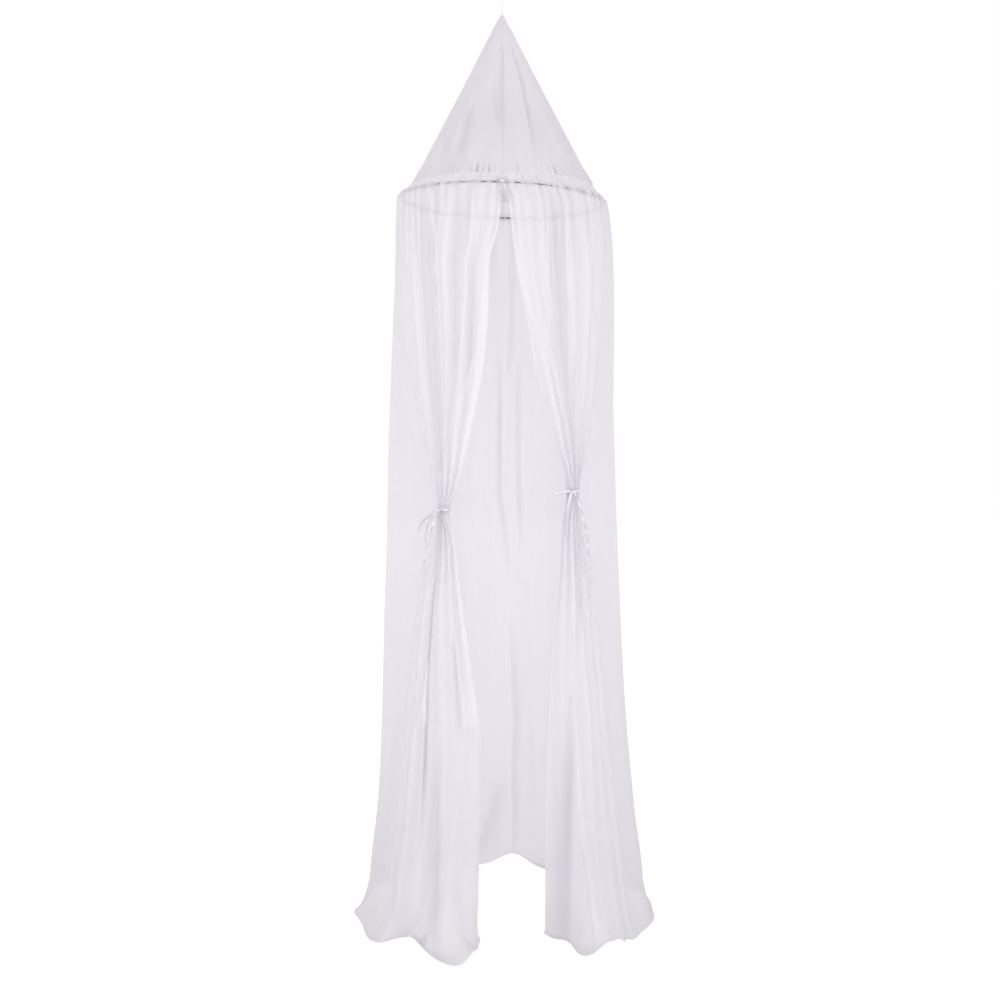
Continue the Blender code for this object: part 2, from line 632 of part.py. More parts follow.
def build_bow(collection, cutters, finish):
    """The little bow where the heading's ribbon is tied over the front parting: a knot, two small
    loops and two free ends."""
    face = HEADING_RADIUS + CLOTH / 2 + SEAT_GAP + BOW_KNOT_RADII[1]
    aside, above = BOW_PLACE
    centre = np.array([aside, -face, FLOOR + HOOP_HEIGHT + above])
    bow = lump("heading_bow", centre, BOW_KNOT_RADII, collection)
    bow.data.shade_smooth()
    bow.data.materials.append(finish)
    spread, forward, rise = BOW_LOOP_OFFSET
    pieces = [lump(f"bow_loop_{number}", centre + (side * spread, forward, rise), BOW_LOOP_RADII, cutters)
              for number, side in enumerate((-1, 1))]
    for number, (lean, length, turns) in enumerate(BOW_TAILS):
        start = centre + (lean * BOW_TAIL_SPREAD, *BOW_TAIL_START)
        points, facing = hanging_tail(start, length, (lean, BOW_TAIL_LEAN, 0), turns,
                                      BOW_TAIL_PHASE, BOW_TAIL_POINTS)
        pieces.append(ribbon(f"bow_tail_{number}", points, facing,
                             BOW_RIBBON_WIDTH, RIBBON_THICKNESS, cutters))
    return fuse(bow, pieces, cutters)


def main():
    """Build the canopy's pieces, from the hanging cord down to the bow."""
    clear_scene()
    canopy = new_collection("mosquito_net_canopy")
    cutters = new_collection("guides")
    voile = material("white voile", WHITE_VOILE)
    cotton = material("white cotton", WHITE_COTTON)
    satin = material("ribbon satin", RIBBON_SATIN)
    white_cord = material("white cord", CORD_WHITE)
    wire = material("dark wire", DARK_WIRE)
    build_cord(canopy, white_cord)
    build_loop(canopy, cutters, white_cord)
    build_cone(canopy, cotton)
    build_hoop(canopy, wire)
    build_curtain(canopy, voile)
    for side in TIES:
        build_tie(side, canopy, cutters, satin)
    build_bow(canopy, cutters, satin)


main()
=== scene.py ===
"""A mosquito net canopy, dressed: sheer net parted and tied at the front, gathered on a dark wire hoop.

Metres, +Z up. The origin is the hanging point, the top of the cord's loop. The net is parted at the
front, which faces -Y, and +X is to its right. Heights of the net are above the level of its hem.
"""

import logging
import math
from dataclasses import dataclass, field
from enum import Enum
from typing import Any, Sequence, Union

import bmesh
import bpy
import numpy as np
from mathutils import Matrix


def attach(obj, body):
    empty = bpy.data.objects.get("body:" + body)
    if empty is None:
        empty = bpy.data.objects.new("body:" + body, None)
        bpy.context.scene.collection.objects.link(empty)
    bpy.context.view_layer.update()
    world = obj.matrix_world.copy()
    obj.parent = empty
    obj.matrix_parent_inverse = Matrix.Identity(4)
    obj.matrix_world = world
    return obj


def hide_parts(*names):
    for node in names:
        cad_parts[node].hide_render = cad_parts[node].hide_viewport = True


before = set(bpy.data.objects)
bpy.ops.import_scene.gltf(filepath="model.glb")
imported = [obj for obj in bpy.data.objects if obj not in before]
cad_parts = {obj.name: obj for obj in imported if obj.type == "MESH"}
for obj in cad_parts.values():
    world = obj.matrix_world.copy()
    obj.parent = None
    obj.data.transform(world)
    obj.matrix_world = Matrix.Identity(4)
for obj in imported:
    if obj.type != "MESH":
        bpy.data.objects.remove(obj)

Array = np.ndarray
Number = Union[float, "Reading"]
Rgb = tuple[int, int, int]
Pair = tuple[float, float]
Triple = tuple[float, float, float]
Line = tuple[Pair, ...]
Material = bpy.types.Material
Socket = bpy.types.NodeSocket
Piece = bpy.types.Object

log = logging.getLogger("canopy")

BODY = "root"
HANG_HEIGHT = 2.330
SEAM_HEIGHT = 1.820
WELD = 1e-7
TURN = 2 * math.pi
WHITE = (1.0, 1.0, 1.0, 1.0)
SIDEWAYS, BACKWARDS, UPWARDS = np.eye(3)


# --- Shader graphs ---


class Reading:
    """A number that changes over a surface. Python's operators on it add Math nodes."""

    def __init__(self, graph: "Graph", socket: bpy.types.NodeSocket) -> None:
        """Wraps a node's output socket."""
        self.graph = graph
        self.socket = socket

    def _math(self, operation: str, *values: Number, clamp: bool = False) -> "Reading":
        """One Math node over the given values.

        Args:
            operation: The Math node's operation.
            values: Its inputs in order, as readings or plain numbers.
            clamp: Whether the result is held between 0 and 1.

        Returns:
            The node's result.
        """
        settings = {"operation": operation, "use_clamp": clamp}
        node = self.graph.node("ShaderNodeMath", settings, dict(enumerate(values)))
        return Reading(self.graph, node.outputs[0])

    def __add__(self, other: Number) -> "Reading":
        """The sum."""
        return self._math("ADD", self, other)

    def __sub__(self, other: Number) -> "Reading":
        """The difference."""
        return self._math("SUBTRACT", self, other)

    def __rsub__(self, other: Number) -> "Reading":
        """The difference, the other way round."""
        return self._math("SUBTRACT", other, self)

    def __mul__(self, other: Number) -> "Reading":
        """The product."""
        return self._math("MULTIPLY", self, other)

    def __truediv__(self, other: Number) -> "Reading":
        """The quotient."""
        return self._math("DIVIDE", self, other)

    def __pow__(self, other: Number) -> "Reading":
        """The power."""
        return self._math("POWER", self, other)

    __radd__, __rmul__ = __add__, __mul__

    def sine(self) -> "Reading":
        """The sine, in radians."""
        return self._math("SINE", self)

    def held(self) -> "Reading":
        """The value held between 0 and 1."""
        return self._math("ADD", self, 0.0, clamp=True)

    def rise(self, start: float, end: float) -> "Reading":
        """0 before start and 1 after end, straight between them."""
        return ((self - start) / (end - start)).held()


class Graph:
    """A material's or the room's node tree, built from Python expressions."""

    def __init__(self, owner: Union[Material, bpy.types.World]) -> None:
        """Empties its owner's tree.

        Args:
            owner: The material or the room.
        """
        self.owner = owner
        owner.use_nodes = True
        self.tree = owner.node_tree
        self.tree.nodes.clear()

    def node(self, kind: str, settings: dict[str, Any] | None = None,
             sockets: dict[Any, Any] | None = None) -> bpy.types.Node:
        """Adds a node.

        Args:
            kind: The node's type.
            settings: Its own settings, which are set first.
            sockets: Values or links of its inputs, by name or place.

        Returns:
            The node.
        """
        node = self.tree.nodes.new(kind)
        for key, value in (settings or {}).items():
            setattr(node, key, value)
        for key, value in (sockets or {}).items():
            source = value.socket if isinstance(value, Reading) else value
            if isinstance(source, bpy.types.NodeSocket):
                self.tree.links.new(source, node.inputs[key])
            else:
                node.inputs[key].default_value = source
        return node

    def shader(self, kind: str, sockets: dict[Any, Any] | None = None) -> Socket:
        """The output of a new shader node of that kind."""
        return self.node(f"ShaderNode{kind}", sockets=sockets).outputs[0]

    def object_place(self) -> Socket:
        """The point in the object's own space."""
        return self.node("ShaderNodeTexCoord").outputs["Object"]

    def cloth_place(self) -> Socket:
        """The point on the flat cloth, in metres across and down."""
        return self.node("ShaderNodeUVMap", {"uv_map": "cloth"}).outputs["UV"]

    def attribute(self, name: str) -> Reading:
        """A number kept on the piece's vertices."""
        node = self.node("ShaderNodeAttribute", {"attribute_name": name})
        return Reading(self, node.outputs["Fac"])

    def parts(self, vector: Socket) -> tuple[Reading, Reading, Reading]:
        """A vector's three numbers."""
        node = self.node("ShaderNodeSeparateXYZ", sockets={0: vector})
        return tuple(Reading(self, socket) for socket in node.outputs)

    def noise(self, vector: Socket, stretch: Triple, detail: float = 2.0) -> Reading:
        """Soft noise about 0.5.

        Args:
            vector: Where the noise is read.
            stretch: Waves in a metre along each axis.
            detail: How many finer octaves are added.

        Returns:
            The noise's value, 0 to 1.
        """
        scaled = self.node("ShaderNodeMapping", sockets={"Vector": vector, "Scale": stretch})
        node = self.node("ShaderNodeTexNoise", {"noise_dimensions": "3D"},
                         {"Vector": scaled.outputs[0], "Scale": 1.0, "Detail": detail})
        return Reading(self, node.outputs[0])

    def weave(self, cloth: Socket, pitch: float) -> Reading:
        """Crossed threads at that pitch: the product of a sine across the cloth and one down it."""
        across, down, _ = self.parts(cloth)
        return (across * (TURN / pitch)).sine() * (down * (TURN / pitch)).sine()

    def blend(self, factor: Reading, first: Any, second: Any) -> Socket:
        """A colour between two, by a factor from 0 to 1."""
        node = self.node("ShaderNodeMix", {"data_type": "RGBA"}, {0: factor, 6: first, 7: second})
        return node.outputs[2]

    def bump(self, height: Reading, depth: float) -> Socket:
        """The normal of a surface whose relief is height times depth, in metres."""
        return self.shader("Bump", {"Strength": 1.0, "Distance": depth, "Height": height})

    def cloth(self, colour: Socket, relief: Socket, translucence: float, opacity: Reading,
              **facing: float) -> Material:
        """Ends the tree in thin cloth: part lit from its front, part glowing with the light from behind
        it, and part clear.

        Args:
            colour: Its colour.
            relief: Its normal.
            translucence: The share of the cloth that glows.
            opacity: The share that isn't clear.
            facing: The front's own inputs, with _ for each space in a name.

        Returns:
            The material.
        """
        front = {key.replace("_", " "): value for key, value in facing.items()}
        lit = self.shader("BsdfPrincipled", {"Base Color": colour, "Normal": relief, **front})
        glow = self.shader("BsdfTranslucent", {"Color": colour, "Normal": relief})
        body = self.shader("MixShader", {0: translucence, 1: lit, 2: glow})
        clear = self.shader("BsdfTransparent")
        return self.surface(self.shader("MixShader", {0: opacity, 1: clear, 2: body}))

    def surface(self, shader: Socket, output: str = "ShaderNodeOutputMaterial") -> Any:
        """Ends the tree in this shader, and gives back the tree's owner."""
        self.node(output, sockets={"Surface": shader})
        return self.owner


def shade(colour: Sequence[float]) -> tuple[float, float, float, float]:
    """A colour given as sRGB numbers from 0 to 255, as the linear value that a socket takes."""
    share = np.asarray(colour, float) / 255
    linear = np.where(share <= 0.04045, share / 12.92, ((share + 0.055) / 1.055) ** 2.4)
    return (*[float(x) for x in linear], 1.0)


# --- Finishes ---


@dataclass(frozen=True)
class SheerNet:
    """Fine white net: a thin weave that lets most of what is behind it show, with a lavender cast.

    Its colour runs from the left panel to the right one and to the back. Heights are above the hem, and
    each pair of them is where a change starts and ends.
    """

    # painted light on the back, over the shade inside the net; painted shade on the right panel
    left: Rgb = (247, 245, 249)
    right: Rgb = (242, 241, 245)
    back: Rgb = (250, 247, 254)
    shadow: Rgb = (238, 235, 243)
    # painted shade: the colour that the dark mark darkens the net towards
    painted_shade: Rgb = (198, 190, 208)
    # painted light: the colour that the light mark lifts the net towards
    edging: Rgb = (252, 251, 254)
    half_span: float = 0.30
    clouds: Triple = (3.1, 3.1, 1.6)
    cloud_edges: Pair = (0.42, 0.72)
    cloud_share: float = 0.25
    low_cloud_share: float = 0.60
    low_heights: Pair = (0.05, 0.75)
    opacity_high: float = 0.70
    opacity_low: float = 0.84
    opacity_heights: Pair = (0.15, 1.15)
    translucence: float = 0.62
    thinning: float = 0.97
    hem_share: float = 0.45
    thread_pitch: float = 0.0022
    thread_opacity: float = 0.01
    thread_relief: float = 0.25
    weft: Triple = (240.0, 7.0, 1.0)
    warp: Triple = (9.0, 320.0, 1.0)
    slub_opacity: float = 0.05
    slub_relief: float = 0.6
    relief: float = 0.0004

    def material(self) -> Material:
        """The net's material. Its opacity follows how closely the cloth is packed, and rises on the
        doubled hem and front edges.

        Returns:
            The material.
        """
        graph = Graph(bpy.data.materials.new("sheer net"))
        cloth, place = graph.cloth_place(), graph.object_place()
        side, depth, height = graph.parts(place)
        front = graph.blend(side.rise(-self.half_span, self.half_span), shade(self.left), shade(self.right))
        tint = graph.blend(depth.rise(0.0, self.half_span), front, shade(self.back))
        raised = height + HANG_HEIGHT
        low = 1 - raised.rise(*self.low_heights)
        clouds = graph.noise(place, self.clouds, 3.0).rise(*self.cloud_edges)
        cast = (clouds * (self.cloud_share + low * self.low_cloud_share)).held()
        shaded = graph.blend(cast, tint, shade(self.shadow))
        # painted light on crease ridges, turned edges, the front edges and the tied stacks, by the light mark
        lit = graph.blend(graph.attribute("light"), shaded, shade(self.edging))
        # painted shade in crease valleys, gather hollows and on the heading, by the dark mark
        colour = graph.blend(graph.attribute("dark"), lit, shade(self.painted_shade))
        slubs = graph.noise(cloth, self.weft, 1.0) * 0.5 + graph.noise(cloth, self.warp, 1.0) * 0.5
        threads = graph.weave(cloth, self.thread_pitch)
        clear_high, clear_low = 1 - self.opacity_high, 1 - self.opacity_low
        one_layer = clear_low + (clear_high - clear_low) * raised.rise(*self.opacity_heights)
        layers = graph.attribute("packing") * (1 - graph.attribute("thin") * self.thinning)
        through = one_layer ** layers * (1 - graph.attribute("hem") * self.hem_share)
        opacity = (1 - through + (slubs - 0.5) * self.slub_opacity + threads * self.thread_opacity).held()
        relief = graph.bump(threads * self.thread_relief + slubs * self.slub_relief, self.relief)
        return graph.cloth(colour, relief, self.translucence, opacity, Roughness=0.75,
                           Specular_IOR_Level=0.25, Sheen_Weight=0.15, Sheen_Roughness=0.5)


@dataclass(frozen=True)
class ConeCloth:
    """The cone's closer white cloth, with a plain weave and one seam down its front, and painted shade
    along that seam and in its hollows.
    """

    base: Rgb = (237, 234, 238)
    shadow: Rgb = (226, 221, 230)
    # painted shade: the colour of the puckers' hollows and the creases' valleys
    painted_shade: Rgb = (196, 190, 206)
    clouds: Triple = (7.0, 7.0, 4.0)
    cloud_edges: Pair = (0.40, 0.75)
    cloud_share: float = 0.6
    seam_shade_share: float = 0.5
    opacity: float = 0.93
    translucence: float = 0.70
    thread_pitch: float = 0.0016
    thread_relief: float = 0.3
    weft: Triple = (260.0, 12.0, 1.0)
    warp: Triple = (12.0, 260.0, 1.0)
    slub_opacity: float = 0.04
    slub_relief: float = 0.4
    relief: float = 0.0003

    def material(self) -> Material:
        """The cone's material.

        Returns:
            The material.
        """
        graph = Graph(bpy.data.materials.new("cone cloth"))
        cloth = graph.cloth_place()
        clouds = graph.noise(graph.object_place(), self.clouds, 3.0).rise(*self.cloud_edges)
        # painted shade along the front seam and the stitch line, over random clouds of the shadow colour
        cast = (clouds * self.cloud_share + graph.attribute("seam") * self.seam_shade_share).held()
        clouded = graph.blend(cast, shade(self.base), shade(self.shadow))
        # painted shade in the puckers' pinched hollows and the creases' valleys
        colour = graph.blend(graph.attribute("dark"), clouded, shade(self.painted_shade))
        slubs = graph.noise(cloth, self.weft, 1.0) + graph.noise(cloth, self.warp, 1.0)
        threads = graph.weave(cloth, self.thread_pitch)
        relief = graph.bump(threads * self.thread_relief + slubs * self.slub_relief, self.relief)
        opacity = ((slubs - 1.0) * self.slub_opacity + self.opacity).held()
        return graph.cloth(colour, relief, self.translucence, opacity, Roughness=0.85,
                           Specular_IOR_Level=0.2)


@dataclass(frozen=True)
class RibbonSatin:
    """Narrow lavender-white ribbon: fine ribs across it, a soft sheen, and painted shade along its edges,
    which shows as dark marks where it twists edge-on.
    """

    base: Rgb = (222, 220, 229)
    # painted shade: the colour of the ribbon's edges and of the knots between their bands
    fold: Rgb = (82, 77, 102)
    rib_pitch: float = 0.0009
    rib_relief: float = 0.5
    wear: Triple = (180.0, 60.0, 1.0)
    wear_edges: Pair = (0.35, 0.8)
    wear_share: float = 0.10
    edge_shade_share: float = 0.9
    edge_shade_power: float = 3.0
    roughness: float = 0.38
    relief: float = 0.00025

    def material(self) -> Material:
        """The ribbon's material.

        Returns:
            The material.
        """
        graph = Graph(bpy.data.materials.new("ribbon satin"))
        cloth = graph.cloth_place()
        _, along, _ = graph.parts(cloth)
        wear = graph.noise(cloth, self.wear, 2.0)
        # painted shade along the ribbon's edges, dark where it twists edge-on, and patches of wear
        edge_shade = graph.attribute("edge") ** self.edge_shade_power
        dark = (wear.rise(*self.wear_edges) * self.wear_share + edge_shade * self.edge_shade_share).held()
        ribs = (along * (TURN / self.rib_pitch)).sine()
        return graph.surface(graph.shader("BsdfPrincipled", {
            "Base Color": graph.blend(dark, shade(self.base), shade(self.fold)),
            "Roughness": wear * 0.2 + self.roughness, "Sheen Weight": 0.3,
            "Normal": graph.bump(ribs * self.rib_relief + wear, self.relief)}))


@dataclass(frozen=True)
class TwistedCotton:
    """White twisted cord: shaded grooves between its strands, and loose fibres."""

    base: Rgb = (232, 231, 233)
    groove: Rgb = (196, 194, 200)
    groove_share: float = 0.75
    fibres: Triple = (900.0, 900.0, 500.0)
    fibre_share: float = 0.35
    roughness: float = 0.75
    relief: float = 0.0003

    def material(self) -> Material:
        """The cord's material.

        Returns:
            The material.
        """
        graph = Graph(bpy.data.materials.new("twisted cotton"))
        fibres = graph.noise(graph.object_place(), self.fibres, 3.0)
        shaded = (graph.attribute("groove") * self.groove_share + fibres * self.fibre_share).held()
        return graph.surface(graph.shader("BsdfPrincipled", {
            "Base Color": graph.blend(shaded, shade(self.base), shade(self.groove)),
            "Roughness": fibres * 0.2 + self.roughness, "Normal": graph.bump(fibres, self.relief)}))


@dataclass(frozen=True)
class CoatedWire:
    """The hoop's dark coated wire, a little worn."""

    base: Rgb = (38, 37, 42)
    worn: Rgb = (84, 82, 88)
    wear: Triple = (60.0, 60.0, 60.0)
    wear_edges: Pair = (0.55, 0.8)
    roughness: float = 0.3
    grain: Triple = (700.0, 700.0, 700.0)
    relief: float = 0.0001

    def material(self) -> Material:
        """The wire's material.

        Returns:
            The material.
        """
        graph = Graph(bpy.data.materials.new("coated wire"))
        place = graph.object_place()
        wear = graph.noise(place, self.wear, 4.0)
        return graph.surface(graph.shader("BsdfPrincipled", {
            "Base Color": graph.blend(wear.rise(*self.wear_edges), shade(self.base), shade(self.worn)),
            "Roughness": wear * 0.3 + self.roughness, "Coat Weight": 0.2,
            "Normal": graph.bump(graph.noise(place, self.grain, 2.0), self.relief)}))


@dataclass(frozen=True)
class PaleFloor:
    """A plain pale floor that runs into the white backdrop, and throws only a little light back up."""

    bounce: float = 0.45
    base: float = 0.15
    glow: float = 0.89

    def material(self) -> Material:
        """The floor's material.

        Returns:
            The material.
        """
        graph = Graph(bpy.data.materials.new("pale floor"))
        matt = graph.shader("BsdfDiffuse", {"Color": (self.bounce, self.bounce, self.bounce, 1.0)})
        bright = graph.shader("BsdfPrincipled", {
            "Base Color": (self.base, self.base, self.base, 1.0), "Roughness": 0.9,
            "Specular IOR Level": 0.1, "Emission Color": WHITE, "Emission Strength": self.glow})
        seen = graph.node("ShaderNodeLightPath").outputs["Is Camera Ray"]
        return graph.surface(graph.shader("MixShader", {0: seen, 1: matt, 2: bright}))


# --- Surfaces ---


def ease(t: Array | float) -> Array:
    """0 to 1 with flat ends: three times the square less twice the cube."""
    t = np.clip(t, 0.0, 1.0)
    return t * t * (3 - 2 * t)


def zoned(place: Array, zone: Pair) -> Array:
    """0 up to a zone's start and 1 from its length beyond that, eased between them."""
    return ease((place - zone[0]) / zone[1])


def bell(distance: Array | float) -> Array:
    """1 at no distance, about 0.4 at one half width, and 0 far away."""
    return np.exp(-np.square(distance))


def unit(vectors: Array) -> Array:
    """The vectors at length one."""
    return vectors / np.linalg.norm(vectors, axis=-1, keepdims=True)


@dataclass(frozen=True)
class Profile:
    """A value that changes smoothly with the level: cubic pieces through its stops, free of overshoot."""

    level: tuple[float, ...]
    value: tuple[float, ...]

    def __call__(self, level: Array) -> Array:
        """The value at each level. Each stop's slope is the harmonic mean of its two sides' slopes,
        or flat where they turn, and cubic pieces join the stops.

        Args:
            level: Where it is read.

        Returns:
            The values, in the same shape.
        """
        x, y = np.array(self.level), np.array(self.value)
        step = np.diff(y) / np.diff(x)
        slope = np.zeros(len(x))
        same = step[1:] * step[:-1] > 0
        slope[1:-1][same] = 2 / (1 / step[1:][same] + 1 / step[:-1][same])
        level = np.clip(level, x[0], x[-1])
        i = np.clip(np.searchsorted(x, level, side="right") - 1, 0, len(x) - 2)
        width = x[i + 1] - x[i]
        t = (level - x[i]) / width
        return ((1 + 2 * t) * (1 - t) ** 2 * y[i] + t * (1 - t) ** 2 * width * slope[i]
                + t * t * (3 - 2 * t) * y[i + 1] + t * t * (t - 1) * width * slope[i + 1])


@dataclass(frozen=True)
class Crease:
    """A ridge or valley along a line on the flat cloth.

    Attributes:
        line: Its points, in metres across and down the cloth.
        height: How far it stands out, or in where it is below zero.
        half_width: How far from the line it has mostly faded.
        tone: How much painted light it gets, or painted shade where it is below zero.
        soft: How many half widths it takes to fade on its gentle side, which is towards greater across,
            or towards less where this is below zero.
        thinning: The share of its length over which each end thins out.
    """

    line: Line
    height: float
    half_width: float
    tone: float = 0.0
    soft: float = 2.6
    thinning: float = 0.32

    def strength(self, across: Array, down: Array) -> Array:
        """The crease's strength at each point of the cloth: a bell of the distance to the line, steep on
        one side and gentle on the other, which thins out towards the line's two ends.

        Args:
            across: Metres across the cloth.
            down: Metres down the cloth.

        Returns:
            Strengths from 0 to 1.
        """
        corners = np.array(self.line)
        lengths = np.linalg.norm(np.diff(corners, axis=0), axis=1)
        before = np.concatenate([[0.0], np.cumsum(lengths)])
        best = np.full(np.shape(across), np.inf)
        share, beside = np.zeros(np.shape(across)), np.zeros(np.shape(across))
        for start, end, length, run in zip(corners[:-1], corners[1:], lengths, before[:-1]):
            way = (end - start) / length
            along = np.clip((across - start[0]) * way[0] + (down - start[1]) * way[1], 0.0, length)
            apart = np.hypot(across - start[0] - along * way[0], down - start[1] - along * way[1])
            nearer = apart < best
            best = np.where(nearer, apart, best)
            share = np.where(nearer, (run + along) / before[-1], share)
            across_it = (across - start[0]) * way[1] - (down - start[1]) * way[0]
            beside = np.where(nearer, across_it * math.copysign(1.0, way[1] * self.soft), beside)
        fade = ease(share / self.thinning) * ease((1 - share) / self.thinning)
        gentle = np.where(beside > 0, abs(self.soft), 1.0)
        return bell(best / (self.half_width * gentle)) * fade


@dataclass(frozen=True)
class TurnedEdge:
    """A strip of the net that is turned over, so that it lies double and a little proud, with light and
    shade painted on it.

    Attributes:
        near: The corners of its side nearer the net's edge, in metres across and down the cloth.
        far: The corners of its other side, from the same height to the same height.
        light: How much painted light the strip gets, or painted shade where it is below zero.
        rim: How strongly a light line is painted along its far side, or a dark one where it is below zero.
        layers: What its second layer adds to how closely the cloth is packed.
        proud: How far it stands out.
        step: The width of the slope at its sides.
        rim_half_width: Half the width of the line along its far side.
        fade_in: The length over which it starts from its upper end.
        covering: How much of the creases' painted light and shade it hides.
    """

    near: Line
    far: Line
    light: float
    rim: float
    layers: float = 0.5
    proud: float = 0.0016
    step: float = 0.004
    rim_half_width: float = 0.0035
    fade_in: float = 0.06
    covering: float = 0.6

    def cover(self, across: Array, down: Array) -> tuple[Array, Array]:
        """How fully each point lies in the strip, and on the line along its far side.

        Args:
            across: Metres across the cloth.
            down: Metres down the cloth.

        Returns:
            Both shares from 0 to 1.
        """
        near, far = (np.interp(down, [corner[1] for corner in side], [corner[0] for corner in side])
                     for side in (self.near, self.far))
        top, bottom = self.near[0][1], self.near[-1][1]
        length = ease((down - top) / self.fade_in) * ease((bottom - down) / self.step + 0.5)
        inside = (ease((across - np.minimum(near, far)) / self.step + 0.5)
                  * ease((np.maximum(near, far) - across) / self.step + 0.5))
        return inside * length, bell((across - far) / self.rim_half_width) * length


def creased(creases: Sequence[Crease], across: Array, down: Array) -> tuple[Array, Array]:
    """All the creases together.

    Args:
        creases: The creases.
        across: Metres across the cloth.
        down: Metres down the cloth.

    Returns:
        Their relief in metres, and their tone from -1 to 1, painted light above zero and painted shade
        below, at each point of the cloth.
    """
    across, down = np.broadcast_arrays(across, down)
    relief, tone = np.zeros(across.shape), np.zeros(across.shape)
    for crease in creases:
        strength = crease.strength(across, down)
        relief += crease.height * strength
        tone += crease.tone * strength
    return relief, np.clip(tone, -1.0, 1.0)


@dataclass
class Shell:
    """A grid of points with its place on the flat cloth, and numbers kept on its points."""

    points: Array
    cloth: Array
    marks: dict[str, Array]
    closed: bool = False

    def quads(self, columns: int) -> Array:
        """The corners of each face on a grid with that many columns.

        Args:
            columns: The grid's columns. A closed shell's cloth has one more than its points.

        Returns:
            Rows of four indices.
        """
        rows = self.points.shape[0]
        index = np.arange(rows * columns).reshape(rows, columns)
        if self.closed and columns == self.points.shape[1]:
            index = np.concatenate([index, index[:, :1]], axis=1)
        return np.stack([index[:-1, :-1], index[1:, :-1], index[1:, 1:], index[:-1, 1:]],
                        axis=-1).reshape(-1, 4)


def new_object(name: str, data: bpy.types.ID) -> Piece:
    """A new object in the scene, of that data."""
    made = bpy.data.objects.new(name, data)
    bpy.context.scene.collection.objects.link(made)
    return made


def make_piece(name: str, shells: Sequence[Shell], finish: Material, weld: bool = True) -> Piece:
    """Puts shells into one smooth mesh.

    Args:
        name: The piece's name.
        shells: Its surfaces.
        finish: Its material.
        weld: Whether points at one place become one, which closes seams and poles.

    Returns:
        The object.
    """
    points = np.concatenate([shell.points.reshape(-1, 3) for shell in shells])
    cloth = np.concatenate([shell.cloth.reshape(-1, 2) for shell in shells])
    quads, corners, first, first_cloth = [], [], 0, 0
    for shell in shells:
        quads.append(shell.quads(shell.points.shape[1]) + first)
        corners.append(shell.quads(shell.cloth.shape[1]) + first_cloth)
        first += shell.points[..., 0].size
        first_cloth += shell.cloth[..., 0].size
    faces, corners = np.concatenate(quads), np.concatenate(corners)
    mesh = bpy.data.meshes.new(name)
    mesh.vertices.add(len(points))
    mesh.vertices.foreach_set("co", points.astype(np.float32).ravel())
    mesh.loops.add(faces.size)
    mesh.loops.foreach_set("vertex_index", faces.astype(np.int32).ravel())
    mesh.polygons.add(len(faces))
    mesh.polygons.foreach_set("loop_start", np.arange(0, faces.size, 4, dtype=np.int32))
    mesh.update(calc_edges=True)
    layer = mesh.uv_layers.new(name="cloth")
    layer.data.foreach_set("uv", cloth[corners.ravel()].astype(np.float32).ravel())
    for mark in sorted({key for shell in shells for key in shell.marks}):
        values = np.concatenate([np.broadcast_to(shell.marks.get(mark, 0.0), shell.points.shape[:2]).ravel()
                                 for shell in shells])
        mesh.attributes.new(mark, "FLOAT", "POINT").data.foreach_set("value", values.astype(np.float32))
    if weld:
        solid = bmesh.new()
        solid.from_mesh(mesh)
        bmesh.ops.remove_doubles(solid, verts=solid.verts, dist=WELD)
        solid.to_mesh(mesh)
        solid.free()
    mesh.shade_smooth()
    mesh.materials.append(finish)
    return new_object(name, mesh)


def report(piece: Piece, slot: str, *nodes: str) -> Piece:
    """Fixes a piece to the canopy's body, in place of its solids, and logs it.

    Args:
        piece: The piece.
        slot: The record's material slot.
        nodes: The solids that it stands for.

    Returns:
        The piece.
    """
    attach(piece, BODY)
    if nodes:
        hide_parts(*nodes)
    log.info("%s: %d faces in slot %s", piece.name, len(piece.data.polygons), slot)
    return piece


def run_along(path: Array) -> Array:
    """The distance run at each point of a path."""
    return np.concatenate([[0.0], np.cumsum(np.linalg.norm(np.diff(path, axis=0), axis=1))])


def full_turn(count: int) -> Array:
    """That many angles, evenly all the way round from 0."""
    return np.linspace(0.0, TURN, count + 1)[:-1]


def stacked(*numbers: Array | float) -> Array:
    """Points from their numbers, which are spread over one grid."""
    return np.stack(np.broadcast_arrays(*numbers), axis=-1)


def around(radius: Array | float, angle: Array, height: Array | float) -> Array:
    """Points at a radius from the upright axis, and at an angle from the front towards +X."""
    return stacked(radius * np.sin(angle), -radius * np.cos(angle), height)


def flat_patch(size: Pair, columns: int, rows: int) -> Array:
    """Even places on a flat piece of cloth of that size."""
    return np.stack(np.meshgrid(np.linspace(0, size[0], columns), np.linspace(0, size[1], rows)), axis=-1)


